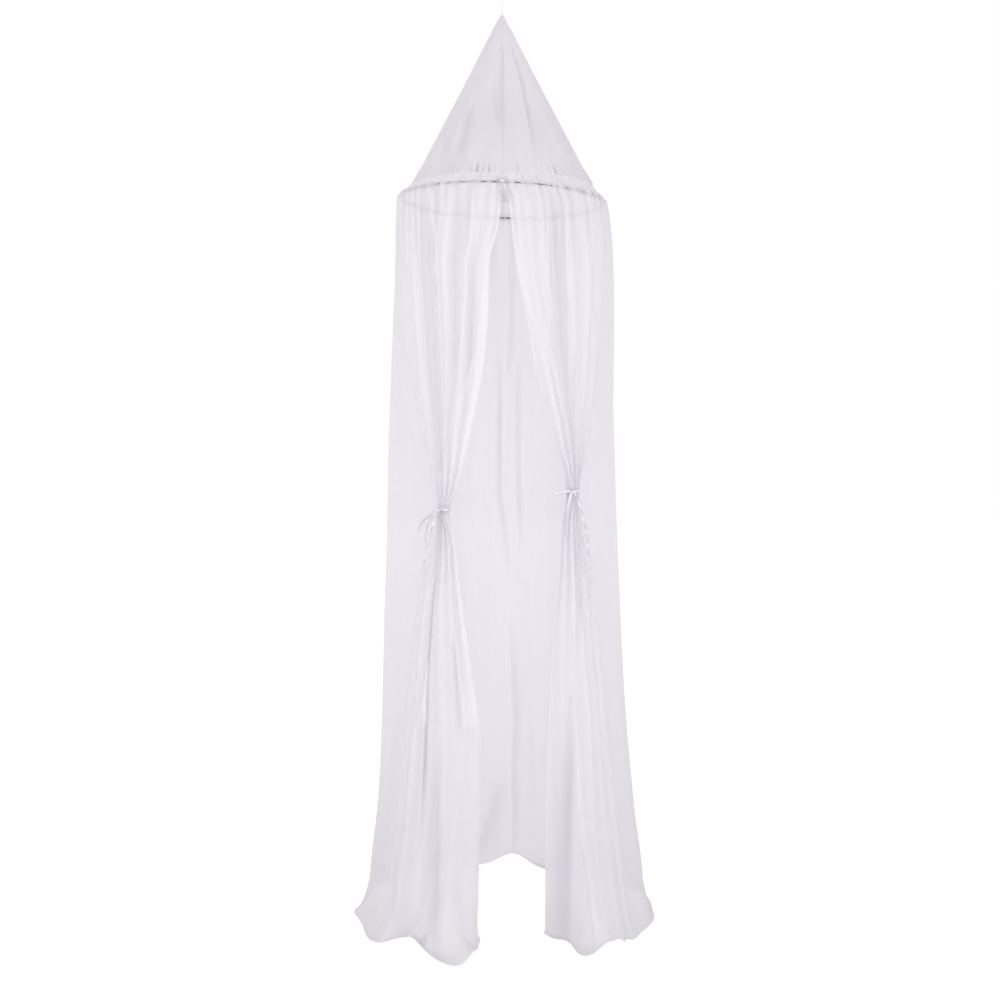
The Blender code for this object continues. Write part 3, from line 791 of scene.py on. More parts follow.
def swept(path: Array, across: Array, section: Array, marks: dict[str, Array], width: float) -> Shell:
    """A section carried along a path, closed round and at both ends.

    Args:
        path: The path's points.
        across: The way that the section's first number goes, at each point or one for all.
        section: Its outline, the same at each point (sides, 2) or one for each (points, sides, 2).
        marks: Numbers kept on the section's points.
        width: Metres of cloth round the section.

    Returns:
        The shell: point plus across times the first number plus the direction square to both times
        the second, with a closing point in each end.
    """
    ahead = unit(np.gradient(path, axis=0))
    across = unit(across - ahead * np.sum(across * ahead, axis=1, keepdims=True))
    out = np.cross(ahead, across)
    section = np.broadcast_to(section, (len(path), *section.shape[-2:]))
    rows = (path[:, None] + across[:, None] * section[..., :1] + out[:, None] * section[..., 1:])
    middle = np.broadcast_to(path[:, None], rows.shape)
    rows = np.concatenate([middle[:1], rows, middle[-1:]])
    sides = rows.shape[1]
    along = run_along(path)
    along = np.concatenate([along[:1], along, along[-1:]])
    cloth = stacked(np.linspace(0.0, width, sides + 1)[None, :], along[:, None])
    kept = {}
    for key, values in marks.items():
        values = np.broadcast_to(values, (len(path), sides))
        kept[key] = np.concatenate([values[:1], values, values[-1:]])
    return Shell(rows, cloth, kept, closed=True)


# --- The camera and the studio ---


@dataclass
class PhotographView:
    """The camera, level with the middle of the net, straight in front of its parting."""

    distance: float = 3.195
    height: float = -1.120
    lens: float = 46.22
    sensor: float = 36.0
    shift_x: float = -0.002
    shift_y: float = -0.070

    def place(self) -> Piece:
        """Makes the camera and gives it to the scene.

        Returns:
            The camera.
        """
        data = bpy.data.cameras.new("view")
        data.lens = self.lens
        data.sensor_width = self.sensor
        data.shift_x = self.shift_x
        data.shift_y = self.shift_y
        camera = new_object("view", data)
        camera.location = (0.0, -self.distance, self.height)
        camera.rotation_euler = (math.pi / 2, 0.0, 0.0)
        bpy.context.scene.camera = camera
        return camera


@dataclass(frozen=True)
class SoftLight:
    """A square soft light that faces a point of the canopy."""

    name: str
    place: Triple
    target: Triple
    size: float
    power: float
    colour: Triple

    def make(self) -> Piece:
        """Makes the light.

        Returns:
            The light.
        """
        data = bpy.data.lights.new(self.name, "AREA")
        data.size = self.size
        data.energy = self.power
        data.color = self.colour
        light = new_object(self.name, data)
        x, y, z = np.array(self.place) - np.array(self.target)
        light.location = self.place
        light.rotation_euler = (math.atan2(math.hypot(x, y), z), 0.0, math.atan2(x, -y))
        return light


@dataclass
class Studio:
    """A pale floor, a bright even room and soft lights."""

    floor_rings: tuple[float, ...] = (14.0, 3.0, 1.0, 0.0)
    floor_sides: int = 64
    floor_drop: float = 0.0006
    room: float = 0.93
    room_tint: tuple[float, ...] = (1.0, 0.992, 0.998, 1.0)
    backdrop: float = 1.0
    lights: tuple[SoftLight, ...] = (
        SoftLight("key", (-2.6, -3.2, 1.3), (0.0, 0.0, -1.1), 1.8, 62.0, (1.0, 0.99, 0.99)),
        SoftLight("fill", (3.0, -2.6, -0.2), (0.0, 0.0, -1.2), 2.2, 46.0, (0.985, 0.985, 1.0)),
        SoftLight("front", (0.0, -4.6, -0.6), (0.0, 0.0, -1.2), 2.6, 56.0, (1.0, 1.0, 1.0)),
    )

    def build(self) -> None:
        """Makes the floor, the room and the lights."""
        self.floor()
        self.surroundings()
        for light in self.lights:
            light.make()
        bpy.context.scene.view_settings.view_transform = "Standard"

    def floor(self) -> Piece:
        """The floor: a disc under the hem, a ring of points for each radius.

        Returns:
            The floor.
        """
        angle, radius = full_turn(self.floor_sides), np.array(self.floor_rings)[:, None]
        points = stacked(radius * np.cos(angle), radius * np.sin(angle), -HANG_HEIGHT - self.floor_drop)
        wrapped = np.concatenate([points, points[:, :1]], axis=1)
        disc = Shell(points, wrapped[..., :2], {}, closed=True)
        floor = make_piece("floor", [disc], PaleFloor().material())
        return floor

    def surroundings(self) -> bpy.types.World:
        """The room: white where the camera sees it, and an even soft light on the cloth.

        Returns:
            The world.
        """
        graph = Graph(bpy.data.worlds.new("room"))
        lit = graph.shader("Background", {"Color": self.room_tint, "Strength": self.room})
        seen = graph.shader("Background", {"Color": WHITE, "Strength": self.backdrop})
        ray = graph.node("ShaderNodeLightPath").outputs["Is Camera Ray"]
        world = graph.surface(graph.shader("MixShader", {0: ray, 1: lit, 2: seen}), "ShaderNodeOutputWorld")
        bpy.context.scene.world = world
        return world


# --- The hanging cord and its loop ---


@dataclass
class HangingCord:
    """The twisted cord from the cone's tip to its knot, and the loop above the knot."""

    diameter: float = 0.0035
    foot: float = -0.0877
    top: float = -0.0453
    loop_length: float = 0.036
    loop_half_width: float = 0.0105
    loop_neck: float = 0.35
    knot_height: float = 0.009
    knot_radius: float = 0.0042
    knot_overlap: float = 0.0028
    knot_sides: int = 48
    knot_rows: int = 41
    knot_cloth: Pair = (0.02, 0.014)
    knot_winds: int = 2
    knot_slant: float = 13.0
    knot_core: float = 0.93
    knot_ridge: float = 0.10
    strands: int = 3
    lay_length: float = 0.013
    groove: float = 0.16
    cord_points: int = 60
    loop_points: int = 160
    sides: int = 18

    def rope(self, path: Array, across: Array, closed: bool) -> Shell:
        """A round cord of twisted strands: its radius is the least in the grooves and the most on the
        strands, which turn once in each lay length.

        Args:
            path: The cord's points.
            across: A direction square to the path.
            closed: Whether the cord runs back into its start.

        Returns:
            The shell.
        """
        run = run_along(path)
        angle = full_turn(self.sides)
        turns = run[-1] / self.lay_length
        twist = TURN * (round(turns) if closed else turns) * run / run[-1]
        crown = np.abs(np.cos(0.5 * self.strands * (angle[None, :] - twist[:, None] / self.strands * 2)))
        radius = self.diameter / 2 * (1 - self.groove * (1 - crown))
        section = stacked(radius * np.cos(angle), radius * np.sin(angle))
        return swept(path, across, section, {"groove": (1 - crown) ** 2}, math.pi * self.diameter)

    def straight(self) -> Array:
        """The taut cord's points, from the cone's tip up to the knot."""
        return stacked(0.0, 0.0, np.linspace(self.foot, self.top, self.cord_points))

    def loop(self) -> Array:
        """The loop's path: a teardrop, narrow at the knot. Its width goes with the sine of the turn and
        its height with one less the cosine.

        Returns:
            Its points.
        """
        turn = np.linspace(0.0, TURN, self.loop_points)
        lift = (1 - np.cos(turn)) / 2
        width = self.loop_half_width * np.sin(turn) * (self.loop_neck + (1 - self.loop_neck) * lift)
        return stacked(width, 0.0, -self.loop_length + (self.loop_length - self.diameter / 2) * lift)

    def knot(self) -> Shell:
        """The knot: a rounded lump wound by slanting strands. Its radius swells from each end, with a
        ridge along each turn of the winding.

        Returns:
            The shell.
        """
        share = np.linspace(0.0, 1.0, self.knot_rows)[:, None]
        angle = full_turn(self.knot_sides)[None, :]
        half = self.knot_height / 2 + self.knot_overlap
        swell = np.sqrt(np.clip(1 - (2 * share - 1) ** 2, 0.0, 1.0))
        wind = np.cos(angle * self.knot_winds + share * self.knot_slant)
        radius = self.knot_radius * swell * (self.knot_core + self.knot_ridge * wind)
        height = -self.loop_length - self.knot_height / 2 + self.knot_overlap + half * (1 - 2 * share)
        cloth = flat_patch(self.knot_cloth, self.knot_sides + 1, self.knot_rows)
        return Shell(around(radius, angle, height), cloth, {"groove": (1 - wind) / 2}, closed=True)

    def build(self, finish: Material) -> list[Piece]:
        """Builds the cord and its loop.

        Args:
            finish: The cord's material.

        Returns:
            The two pieces.
        """
        path = self.straight()
        cord = make_piece("taut_cord", [self.rope(path, SIDEWAYS, False)], finish)
        report(cord, "cord", "hanging_cord")
        loop = make_piece("cord_loop", [self.rope(self.loop(), BACKWARDS, True), self.knot()], finish)
        report(loop, "cord", "hanging_loop")
        return [cord, loop]


# --- The cone ---


@dataclass(frozen=True)
class Ripple:
    """An uneven wave round the canopy: a sine whose phase wanders with a slower one.

    Attributes:
        count: Its waves round the canopy.
        wander: How far its phase wanders, in radians.
        slow: How many times the phase wanders round the canopy.
        phase: Its phase at the front.
    """

    count: int
    wander: float = 0.0
    slow: int = 0
    phase: float = 0.0

    def at(self, angle: Array) -> Array:
        """The wave at an angle, from -1 to 1."""
        return np.sin(self.count * angle + self.wander * np.sin(self.slow * angle) + self.phase)


def seam_height(angle: Array, height: float = SEAM_HEIGHT, dip: float = 0.011) -> Array:
    """The seam's height at an angle from the front: it dips there, as a bell one radian in half width."""
    turn = (angle + math.pi) % TURN - math.pi
    return height - dip * bell(turn)


@dataclass
class Cone:
    """The cloth cone: straight sides from the cord to the seam, soft creases and a puckered edge.

    Each pair for a zone is where it starts on the slope and how much further on it is full, as shares
    of the slope from the tip.
    """

    apex: float = 2.242
    tip_radius: float = 0.0032
    tip_share: float = 0.004
    radius: float = 0.222
    columns: int = 432
    rows: int = 110
    edge_rows: int = 29
    edge_shares: Pair = (0.90, 0.905)
    creases_full: float = 0.10
    puckers: tuple[Ripple, Ripple] = (Ripple(92, 1.7, 7), Ripple(57, phase=1.0))
    pucker_shares: Pair = (0.7, 0.3)
    bunches: tuple[Ripple, Ripple] = (Ripple(11, phase=0.8), Ripple(4, phase=-0.5))
    bunch_middle: float = 0.65
    bunch_swing: float = 0.75
    bunch_range: Pair = (0.2, 1.4)
    pucker_height: float = 0.0042
    pucker_zone: Pair = (0.87, 0.12)
    # painted shade in the hollows of the seam's puckers
    pucker_shade: float = 0.75
    pucker_shade_zone: Pair = (0.92, 0.06)
    tip_gathers: Ripple = Ripple(14, 2.0, 3)
    tip_gather_height: float = 0.0009
    tip_gathers_full: float = 0.08
    tip_gathers_gone: float = 0.35
    ruffles: tuple[Ripple, Ripple] = (Ripple(43, 2.4, 3), Ripple(17, phase=1.0))
    ruffle_share: float = 0.4
    ruffle: float = 0.0036
    ruffle_zone: Pair = (0.95, 0.05)
    seam_angle: float = 0.012
    seam_half_width: float = 0.0022
    seam_ridge: float = 0.0008
    seam_full: float = 0.06
    seam_gap: float = 0.0012
    # painted shade along the stitch line at the seam
    stitch_share: float = 0.978
    stitch_shade_strength: float = 0.7
    lip: float = 0.0008
    lip_zone: Pair = (0.965, 0.035)
    sheet_width: float = 0.964
    creases: tuple[Crease, ...] = (
        # metres round from the front at the seam's radius, metres down the slope, then the height, the half
        # width, the tone, which is painted shade below zero, and how far the gentle side fades where that
        # isn't the usual
        Crease(((-0.03, 0.05), (0.01, 0.13), (0.00, 0.22), (0.00, 0.38)), -0.0055, 0.012, -0.22, -2.6),
        Crease(((-0.07, 0.20), (-0.03, 0.28), (-0.01, 0.33), (0.00, 0.38)), -0.0056, 0.008, -0.14),
        Crease(((-0.03, 0.24), (-0.02, 0.44)), 0.0030, 0.011),
        Crease(((0.11, 0.05), (0.12, 0.19), (0.11, 0.27), (0.09, 0.47)), -0.0110, 0.010, -0.24),
        Crease(((0.04, 0.12), (0.04, 0.27), (0.05, 0.47)), 0.0060, 0.010),
        Crease(((0.17, 0.30), (0.19, 0.46)), 0.0040, 0.012),
        Crease(((-0.14, 0.21), (-0.15, 0.36), (-0.14, 0.45)), 0.0085, 0.009, 0.0, -2.6),
        Crease(((-0.15, 0.25), (-0.13, 0.35), (-0.12, 0.46)), -0.0085, 0.009, -0.20),
        Crease(((-0.20, 0.34), (-0.18, 0.44)), -0.0050, 0.009, -0.14),
        Crease(((-0.09, 0.37), (-0.09, 0.46)), 0.0040, 0.008),
        Crease(((0.30, 0.12), (0.36, 0.42)), -0.0030, 0.018),
        Crease(((0.46, 0.16), (0.50, 0.40)), 0.0028, 0.020),
        Crease(((-0.34, 0.14), (-0.40, 0.43)), -0.0030, 0.018),
        Crease(((-0.52, 0.20), (-0.56, 0.42)), 0.0026, 0.020),
        Crease(((0.64, 0.12), (0.66, 0.43)), -0.0032, 0.017),
    )

    def slope(self) -> float:
        """The length of the cone's side."""
        return math.hypot(self.radius, self.apex - SEAM_HEIGHT)

    def rucks(self, angle: Array) -> Array:
        """The seam's puckers at an angle: two mixed waves, closer and deeper where two slow ones meet."""
        waves = sum(share * ripple.at(angle) for share, ripple in zip(self.pucker_shares, self.puckers))
        first, second = (ripple.at(angle) for ripple in self.bunches)
        return waves * np.clip(self.bunch_middle + self.bunch_swing * first * second, *self.bunch_range)

    def surface(self) -> Shell:
        """The cone as one open shell. A point at an angle and a share of the slope lies on a straight
        line from the tip to the seam, pushed square to it by the creases, by small gathers under the
        cord and by the puckers along the seam.

        Returns:
            The shell.
        """
        upper = np.linspace(self.tip_share, self.edge_shares[0], self.rows - self.edge_rows - 1)
        lower = np.linspace(self.edge_shares[1], 1.0, self.edge_rows)
        share = np.concatenate([[0.0], upper, lower])[:, None]
        angle = np.linspace(-math.pi, math.pi, self.columns + 1)[None, :]
        round_cloth = angle * self.radius * share
        angle = angle[:, :-1]
        slope = self.slope()
        down = share * slope
        push, tone = creased(self.creases, angle * self.radius, down)
        ruck = self.rucks(angle)
        fold = bell((angle - self.seam_angle) * self.radius * share / self.seam_half_width)
        push = push * ease(share / self.creases_full)
        push = push + self.pucker_height * ruck * zoned(share, self.pucker_zone)
        near_tip = ease(share / self.tip_gathers_full) * (1 - ease(share / self.tip_gathers_gone))
        push = push + self.tip_gather_height * self.tip_gathers.at(angle) * near_tip
        push = push + self.seam_ridge * fold * ease(share / self.seam_full)
        push = push + self.lip * zoned(share, self.lip_zone)
        radius = self.tip_radius * ease(share / self.tip_share) + (self.radius - self.tip_radius) * share
        ruffles, slow = (ripple.at(angle) for ripple in self.ruffles)
        wavy = ruffles * (1 - self.ruffle_share + self.ruffle_share * slow)
        edge = self.ruffle * (0.5 + 0.5 * wavy) * zoned(share, self.ruffle_zone)
        height = self.apex + (seam_height(angle) - self.seam_gap - self.apex) * share - edge
        lean_out, lean_up = (self.apex - SEAM_HEIGHT) / slope, self.radius / slope
        flat = radius + push * lean_out * ease(share / 0.01)
        points = around(flat, angle, height - HANG_HEIGHT + push * lean_up)
        # painted shade along the front seam and the stitch line, in the puckers' pinched hollows and in the
        # creases' valleys
        on_stitches = bell((share - self.stitch_share) * slope / self.seam_half_width)
        stitch_shade = self.stitch_shade_strength * (0.5 + 0.5 * wavy) ** 2 * on_stitches
        pinched = np.clip(-ruck, 0.0, 1.0) ** 1.5 * zoned(share, self.pucker_shade_zone)
        marks = {"seam": np.maximum(fold, stitch_shade) * ease(share / self.seam_full),
                 "dark": np.clip(self.pucker_shade * pinched - tone, 0.0, 1.0)}
        return Shell(points[:, ::-1], stacked(round_cloth, down)[:, ::-1],
                     {key: values[:, ::-1] for key, values in marks.items()}, closed=True)

    def build(self, finish: Material) -> Piece:
        """Builds the cone.

        Args:
            finish: Its material.

        Returns:
            The piece.
        """
        cone = make_piece("cloth_cone", [self.surface()], finish)
        report(cone, "cone_cloth", "cone_top")
        return cone


# --- The net ---


class Side(Enum):
    """One of the two front panels."""

    LEFT = "left"
    RIGHT = "right"


@dataclass(frozen=True)
class TiePlace:
    """Where a tie gathers the net: the bundle's middle in plan, its height, and its knot's turn."""

    x: float
    y: float
    height: float
    knot_turn: float

    def middle(self) -> Array:
        """The bundle's middle in plan."""
        return np.array([self.x, self.y])

    def centre(self) -> Array:
        """The bundle's middle at the tie."""
        return np.array([self.x, self.y, self.height - HANG_HEIGHT])

    def along(self) -> Array:
        """The way in which the pleats are stacked, from the front edge to the bundle's outer end."""
        angle = math.atan2(abs(self.x), -self.y)
        return np.array([math.copysign(math.cos(angle), self.x), math.sin(angle)])


TIES = {
    Side.LEFT: TiePlace(-0.137, -0.195, 1.024, -0.36),
    Side.RIGHT: TiePlace(0.1655, -0.180, 1.066, -0.10),
}


@dataclass(frozen=True)
class Gathering:
    """A run of small upright ripples round the net, never below zero, so that they stay outside the hoop.

    Attributes:
        count: Ripples round the whole net.
        wander: How unevenly they are spaced.
        height: How far they stand out.
        levels: Where they start, are full from and to, and have gone.
        slow: The wave that spaces them unevenly.
        quick: A second one, whose share of the first is quick_share.
        patch_share: How much of their strength changes from place to place.
        patch_rate: How often it changes, as a share of their count.
        patch_phase: Where it starts, in radians.
    """

    count: int
    wander: float
    height: float
    levels: tuple[float, float, float, float]
    slow: Ripple = Ripple(5, phase=0.7)
    quick: Ripple = Ripple(13)
    quick_share: float = 0.6
    patch_share: float = 0.38
    patch_rate: float = 0.37
    patch_phase: float = 1.3

    def waves(self, place: Array) -> Array:
        """The ripples from their hollows, 0, to their crests, 1."""
        turn = TURN * place
        slow, quick = self.wander * self.slow.at(turn), self.wander * self.quick_share * self.quick.at(turn)
        return 0.5 + 0.5 * np.sin(self.count * turn + slow + quick)

    def strength(self, place: Array, level: Array) -> Array:
        """How strong the ripples are: full between their middle levels, and uneven round the net.

        Args:
            place: Share across the net (1, columns).
            level: Level of each row (rows, 1).

        Returns:
            Shares of their height (rows, columns).
        """
        start, full, till, gone = self.levels
        patches = np.sin(self.count * self.patch_rate * 2 * math.pi * place + self.patch_phase)
        uneven = 1 - self.patch_share + self.patch_share * patches
        return ease((level - start) / (full - start)) * (1 - ease((level - till) / (gone - till))) * uneven

    def hollows(self, place: Array, level: Array) -> Array:
        """How deep each point is in a hollow between ripples, from 0 to 1."""
        return self.strength(place, level) * (1 - self.waves(place)) ** 2

    def relief(self, place: Array, level: Array) -> Array:
        """The ripples' height in metres, at a share across the net and a level down it."""
        return self.height * self.strength(place, level) * self.waves(place)


@dataclass(frozen=True)
class Showing:
    """A stretch of the hoop that shows through the net, where the cloth is pulled thin over the wire.

    Attributes:
        turn: Its middle, in degrees from the front towards +X.
        half_width: Half its width in degrees.
        share: How much of the wire shows.
    """

    turn: float
    half_width: float
    share: float

    def at(self, angle: Array) -> Array:
        """How much of the wire shows at each angle, in radians from the front towards -X."""
        apart = (np.degrees(angle) + self.turn + 180.0) % 360.0 - 180.0
        return self.share * bell(np.square(apart / self.half_width))


ROUND_LEVELS = (-1.0, 0.0, 0.04, 0.33, 0.67, 0.90, 1.0, 1.10, 1.27, 1.54, 1.80, 2.0, 3.0)
EDGE_LEVELS = (0.0, 0.05, 0.25, 0.40, 0.55, 0.80, 0.95, 1.0, 1.08, 1.20, 1.40, 1.60, 1.80, 2.0, 3.0)
HOOP_LEVEL, HEM_LEVEL = np.array([[0.0]]), np.array([[3.0]])


@dataclass
class Net:
    """The net: one sheet from front edge to front edge, its heading gathered over the hoop, tied back
    on both sides and trailing on the ground.

    Its place runs 0 to 1 from the left front edge round the left, the back and the right. Its level is
    -1 at the seam, 0 at the hoop, 1 at the ties, 2 where the hem flares and 3 at the hem. A zone is
    where something starts and the length over which it comes in full.
    """

    width: float = 2.40
    length: float = 1.86
    hoop_height: float = 1.779
    hoop_wire: float = 0.0040
    hoop_radius: float = 0.250
    hoop_tilt: float = math.radians(1.8)
    cone_gap: float = 0.0003
    flare_height: float = 0.100
    hem_height: float = 0.003
    bundle_share: float = 0.18
    bundle_pleats: int = 5
    bundle_length: float = 0.024
    bundle_fade: float = 0.09
    front_half_gap: float = 0.0088
    edge_start: float = 0.05
    stack_rounding: float = 0.62
    tied_levels: float = 0.30
    tied_fade: float = 0.60
    trail_power: float = 1.5
    drop_power: float = 2.2
    full_pleats: float = 0.25
    # painted light in a band along each front edge, above the ties
    highlight_width: float = 0.014
    highlight_start: Pair = (0.0, 0.10)
    highlight_end: Pair = (0.85, 0.10)
    edge_highlight: float = 0.6
    # painted light on the tied stacks of pleats, over the shade in their folds
    packed_highlight: float = 0.12
    packed_zone: Pair = (1.15, 0.6)
    packed_levels: Pair = (0.4, 0.3)
    packing_range: Pair = (0.85, 1.6)
    # painted shade on the heading under the hoop and in the gathers' hollows
    heading_shade: float = 0.20
    heading_end: Pair = (-0.16, 0.14)
    gather_shade: float = 0.27
    edge_hem: Pair = (0.004, 0.003)
    low_hem: Pair = (0.004, 0.004)
    low_hem_level: float = 2.6
    wire_half_width: float = 0.0032
    smoothing: int = 9
    pleat_columns: int = 27
    fold_columns: int = 36
    pitch_steps: int = 24
    tangent_reach: float = 0.0022
    row_levels: tuple[float, ...] = (-1.0, -0.12, 0.0, 0.0084, 0.12, 0.86, 1.14, 2.0, 3.0)
    row_counts: tuple[int, ...] = (11, 5, 6, 8, 32, 20, 37, 26)
    radius: Profile = Profile(
        ROUND_LEVELS, (0.2226, 0.2534, 0.258, 0.271, 0.281, 0.288, 0.290, 0.292, 0.297, 0.304, 0.319,
                       0.340, 0.362))
    centre: Profile = Profile(
        ROUND_LEVELS, (0.0, 0.0, 0.001, 0.006, 0.004, 0.003, 0.003, 0.004, 0.006, 0.009, 0.014, 0.015, 0.006))
    bow: Profile = Profile(
        ROUND_LEVELS, (1.0, 1.0, 0.98, 0.75, 0.45, 0.15, 0.0, 0.10, 0.35, 0.60, 0.75, 0.85, 1.0))
    gather: Profile = Profile(
        ROUND_LEVELS, (0.0, 0.0, 0.01, 0.22, 0.55, 0.86, 1.0, 0.86, 0.60, 0.38, 0.25, 0.20, 0.10))
    pleat: Profile = Profile(
        ROUND_LEVELS, (0.0, 0.0, 0.14, 0.38, 0.42, 0.50, 0.58, 0.50, 0.36, 0.28, 0.26, 0.26, 0.26))
    fold: Profile = Profile(
        ROUND_LEVELS, (0.0, 0.0, 0.10, 0.28, 0.36, 0.38, 0.38, 0.40, 0.42, 0.46, 0.52, 0.58, 0.60))
    crisp: Profile = Profile(
        ROUND_LEVELS, (1.0, 1.0, 1.0, 0.92, 0.78, 0.50, 0.30, 0.56, 0.85, 1.0, 1.0, 1.0, 1.0))
    left_x: Profile = Profile(
        (0.0, 0.05, 0.12, 0.17, 0.25, 0.40, 0.55, 0.80, 0.95, 1.0, 1.08, 1.20, 1.40, 1.60, 1.80, 2.0, 3.0),
        (-0.002, -0.003, -0.0065, -0.015, -0.0295, -0.032, -0.042, -0.079, -0.109, -0.1275,
         -0.110, -0.096, -0.072, -0.050, -0.052, -0.056, -0.066))
    left_y: Profile = Profile(
        EDGE_LEVELS, (-0.253, -0.253, -0.250, -0.247, -0.240, -0.224, -0.208, -0.202,
                      -0.203, -0.200, -0.193, -0.186, -0.178, -0.170, -0.125))
    right_x: Profile = Profile(
        EDGE_LEVELS, (0.002, 0.014, 0.030, 0.052, 0.071, 0.118, 0.150, 0.1567,
                      0.1425, 0.1355, 0.118, 0.109, 0.1035, 0.102, 0.108))
    right_y: Profile = Profile(
        EDGE_LEVELS, (-0.253, -0.2525, -0.248, -0.243, -0.236, -0.213, -0.194, -0.188,
                      -0.190, -0.186, -0.178, -0.170, -0.158, -0.145, -0.105))
    left_pleats: tuple[float, ...] = (0.90, 0.45, 0.80, 0.35, 0.70)
    right_pleats: tuple[float, ...] = (0.80, 0.50, 0.90, 0.30, 0.60)
    folds: Line = (
        # share of width, share of depth
        (1.00, 0.55), (0.80, 0.90), (1.25, 1.10), (0.85, 0.80), (1.10, 1.15),
        (0.75, 0.90), (1.20, 1.05), (0.90, 1.20), (1.15, 0.85), (1.00, 0.55))
    tips: tuple[Triple, ...] = (
        # place, reach outwards, half width
        (0.045, 0.150, 0.034), (0.110, -0.060, 0.030), (0.175, 0.008, 0.026), (0.285, 0.016, 0.040),
        (0.420, 0.018, 0.050), (0.580, -0.034, 0.055), (0.730, 0.020, 0.040), (0.845, -0.020, 0.022),
        (0.928, 0.085, 0.030), (0.985, 0.030, 0.018))
    lifts: tuple[Triple, ...] = (
        # place, height, half width
        (0.512, 0.034, 0.030), (0.330, 0.012, 0.030), (0.690, 0.010, 0.030), (0.034, 0.020, 0.011),
        (0.083, 0.020, 0.013), (0.905, 0.022, 0.014), (0.884, 0.012, 0.012))
    seen_outside: tuple[Showing, ...] = tuple(Showing(*stretch) for stretch in (
        (-4.2, 1.6, 1.0), (-9.7, 1.8, 1.0), (-20.8, 2.2, 0.9), (-28.4, 1.2, 0.7), (-34.7, 1.2, 0.8),
        (-44.0, 1.1, 0.4), (-63.0, 1.4, 0.3), (-95.0, 1.6, 0.4), (-130.0, 1.8, 0.5), (-158.0, 1.4, 0.4),
        (171.0, 1.8, 0.5), (140.0, 1.4, 0.4), (112.0, 1.6, 0.5), (72.6, 2.0, 0.4), (64.2, 1.8, 0.4),
        (49.8, 1.5, 0.5), (36.7, 1.2, 0.7), (26.5, 1.0, 0.8), (19.6, 4.7, 0.9), (8.3, 2.0, 1.0)))
    seen_inside: tuple[Showing, ...] = tuple(Showing(*stretch) for stretch in (
        (179.5, 0.5, 1.0), (176.3, 1.2, 1.0), (164.4, 2.2, 0.6), (146.1, 2.5, 0.6), (-137.5, 2.5, 0.6),
        (-155.3, 2.5, 0.6), (-167.6, 2.2, 0.6), (-60.0, 2.5, 0.6), (-30.0, 2.0, 0.6), (25.0, 2.5, 0.6),
        (70.0, 2.2, 0.6)))
    casing_rise: tuple[float, ...] = (0.0100, 0.0065, 0.0030, 0.0010, -0.0010, -0.0030, -0.0060, -0.0085)
    casing_reach: tuple[float, ...] = (-0.0045, -0.0037, -0.0034, -0.0033, -0.0033, -0.0032, -0.0010, 0.0032)
    casing_ends: Pair = (0.002, 0.998)
    casing_columns: int = 480
    casing_ripple: Ripple = Ripple(61, 1.9, 5)
    casing_ruck: float = 0.0007
    gatherings: tuple[Gathering, ...] = (
        Gathering(92, 3.1, 0.0055, (-1.0, -0.70, -0.10, 0.13)),
        Gathering(57, 2.7, 0.0058, (-0.70, 0.02, 0.09, 0.30)),
        Gathering(29, 2.3, 0.0062, (0.04, 0.16, 0.30, 0.80)),
    )

    def levels(self) -> Array:
        """The rows' levels, closer together at the heading, the ties and the hem."""
        runs = zip(self.row_levels[:-1], self.row_levels[1:], self.row_counts)
        return np.concatenate([[self.row_levels[0]], *(np.linspace(a, b, n + 1)[1:] for a, b, n in runs)])

    def spans(self) -> tuple[Array, Array, Array]:
        """Every fold's ends across the net, its share of depth and whether it is a tied pleat.

        Returns:
            The ends, one more than the folds, the shares and the pleat marks.
        """
        pleats = np.linspace(0.0, self.bundle_share, self.bundle_pleats + 1)
        widths = np.array([fold[0] for fold in self.folds])
        middle = self.bundle_share + np.cumsum(widths) / widths.sum() * (1 - 2 * self.bundle_share)
        ends = np.concatenate([pleats, middle, (1 - pleats[::-1])[1:]])
        shares = np.array([*self.left_pleats, *(fold[1] for fold in self.folds), *self.right_pleats[::-1]])
        tied = np.ones(len(shares), bool)
        tied[self.bundle_pleats:-self.bundle_pleats] = False
        return ends, shares, tied

    def angle(self, place: Array) -> Array:
        """The angle from the front round the left at a share across the net."""
        return self.front_half_gap + place * (2 * math.pi - 2 * self.front_half_gap)

    def ring(self, place: Array, radius: Array, centre: Array) -> Array:
        """The round outline: a circle about a centre that drifts a little sideways, from the front gap
        round the left."""
        angle = self.angle(place)
        return np.stack([centre - radius * np.sin(angle), -radius * np.cos(angle)], axis=-1)

    def outline(self, place: Array, level: Array) -> Array:
        """The net's plan before its folds. It is round, but each tied part runs from its front edge to
        the bundle's outer end, and beyond that the cloth eases back to the round outline.

        Args:
            place: Share across the net (rows, columns).
            level: Level of each row (rows, 1).

        Returns:
            Points in plan (rows, columns, 2).
        """
        radius, centre = self.radius(level), self.centre(level)
        bow, gather = self.bow(level)[..., None], self.gather(level)[..., None]
        round_path = self.ring(place, radius, centre)
        path = round_path
        for side, share, edge, outer, x, y in (
                (Side.LEFT, place, 0.0, self.bundle_share, self.left_x, self.left_y),
                (Side.RIGHT, 1 - place, 1.0, 1 - self.bundle_share, self.right_x, self.right_y)):
            round_edge = self.ring(np.array(edge), radius, centre)
            round_outer = self.ring(np.array(outer), radius, centre)
            hung = stacked(x(level), y(level))
            start = round_edge + (hung - round_edge) * ease(level / self.edge_start)[..., None]
            tie = TIES[side]
            end = round_outer + (tie.middle() + tie.along() * self.bundle_length / 2 - round_outer) * gather
            v = (share / self.bundle_share)[..., None]
            bulge = round_path - round_edge - (round_outer - round_edge) * v
            tied = start + (end - start) * v + bulge * bow
            beyond = 1 - ease((share - self.bundle_share) / self.bundle_fade)[..., None]
            path = np.where(v <= 1, tied, path + (end - round_outer) * beyond)
        return path

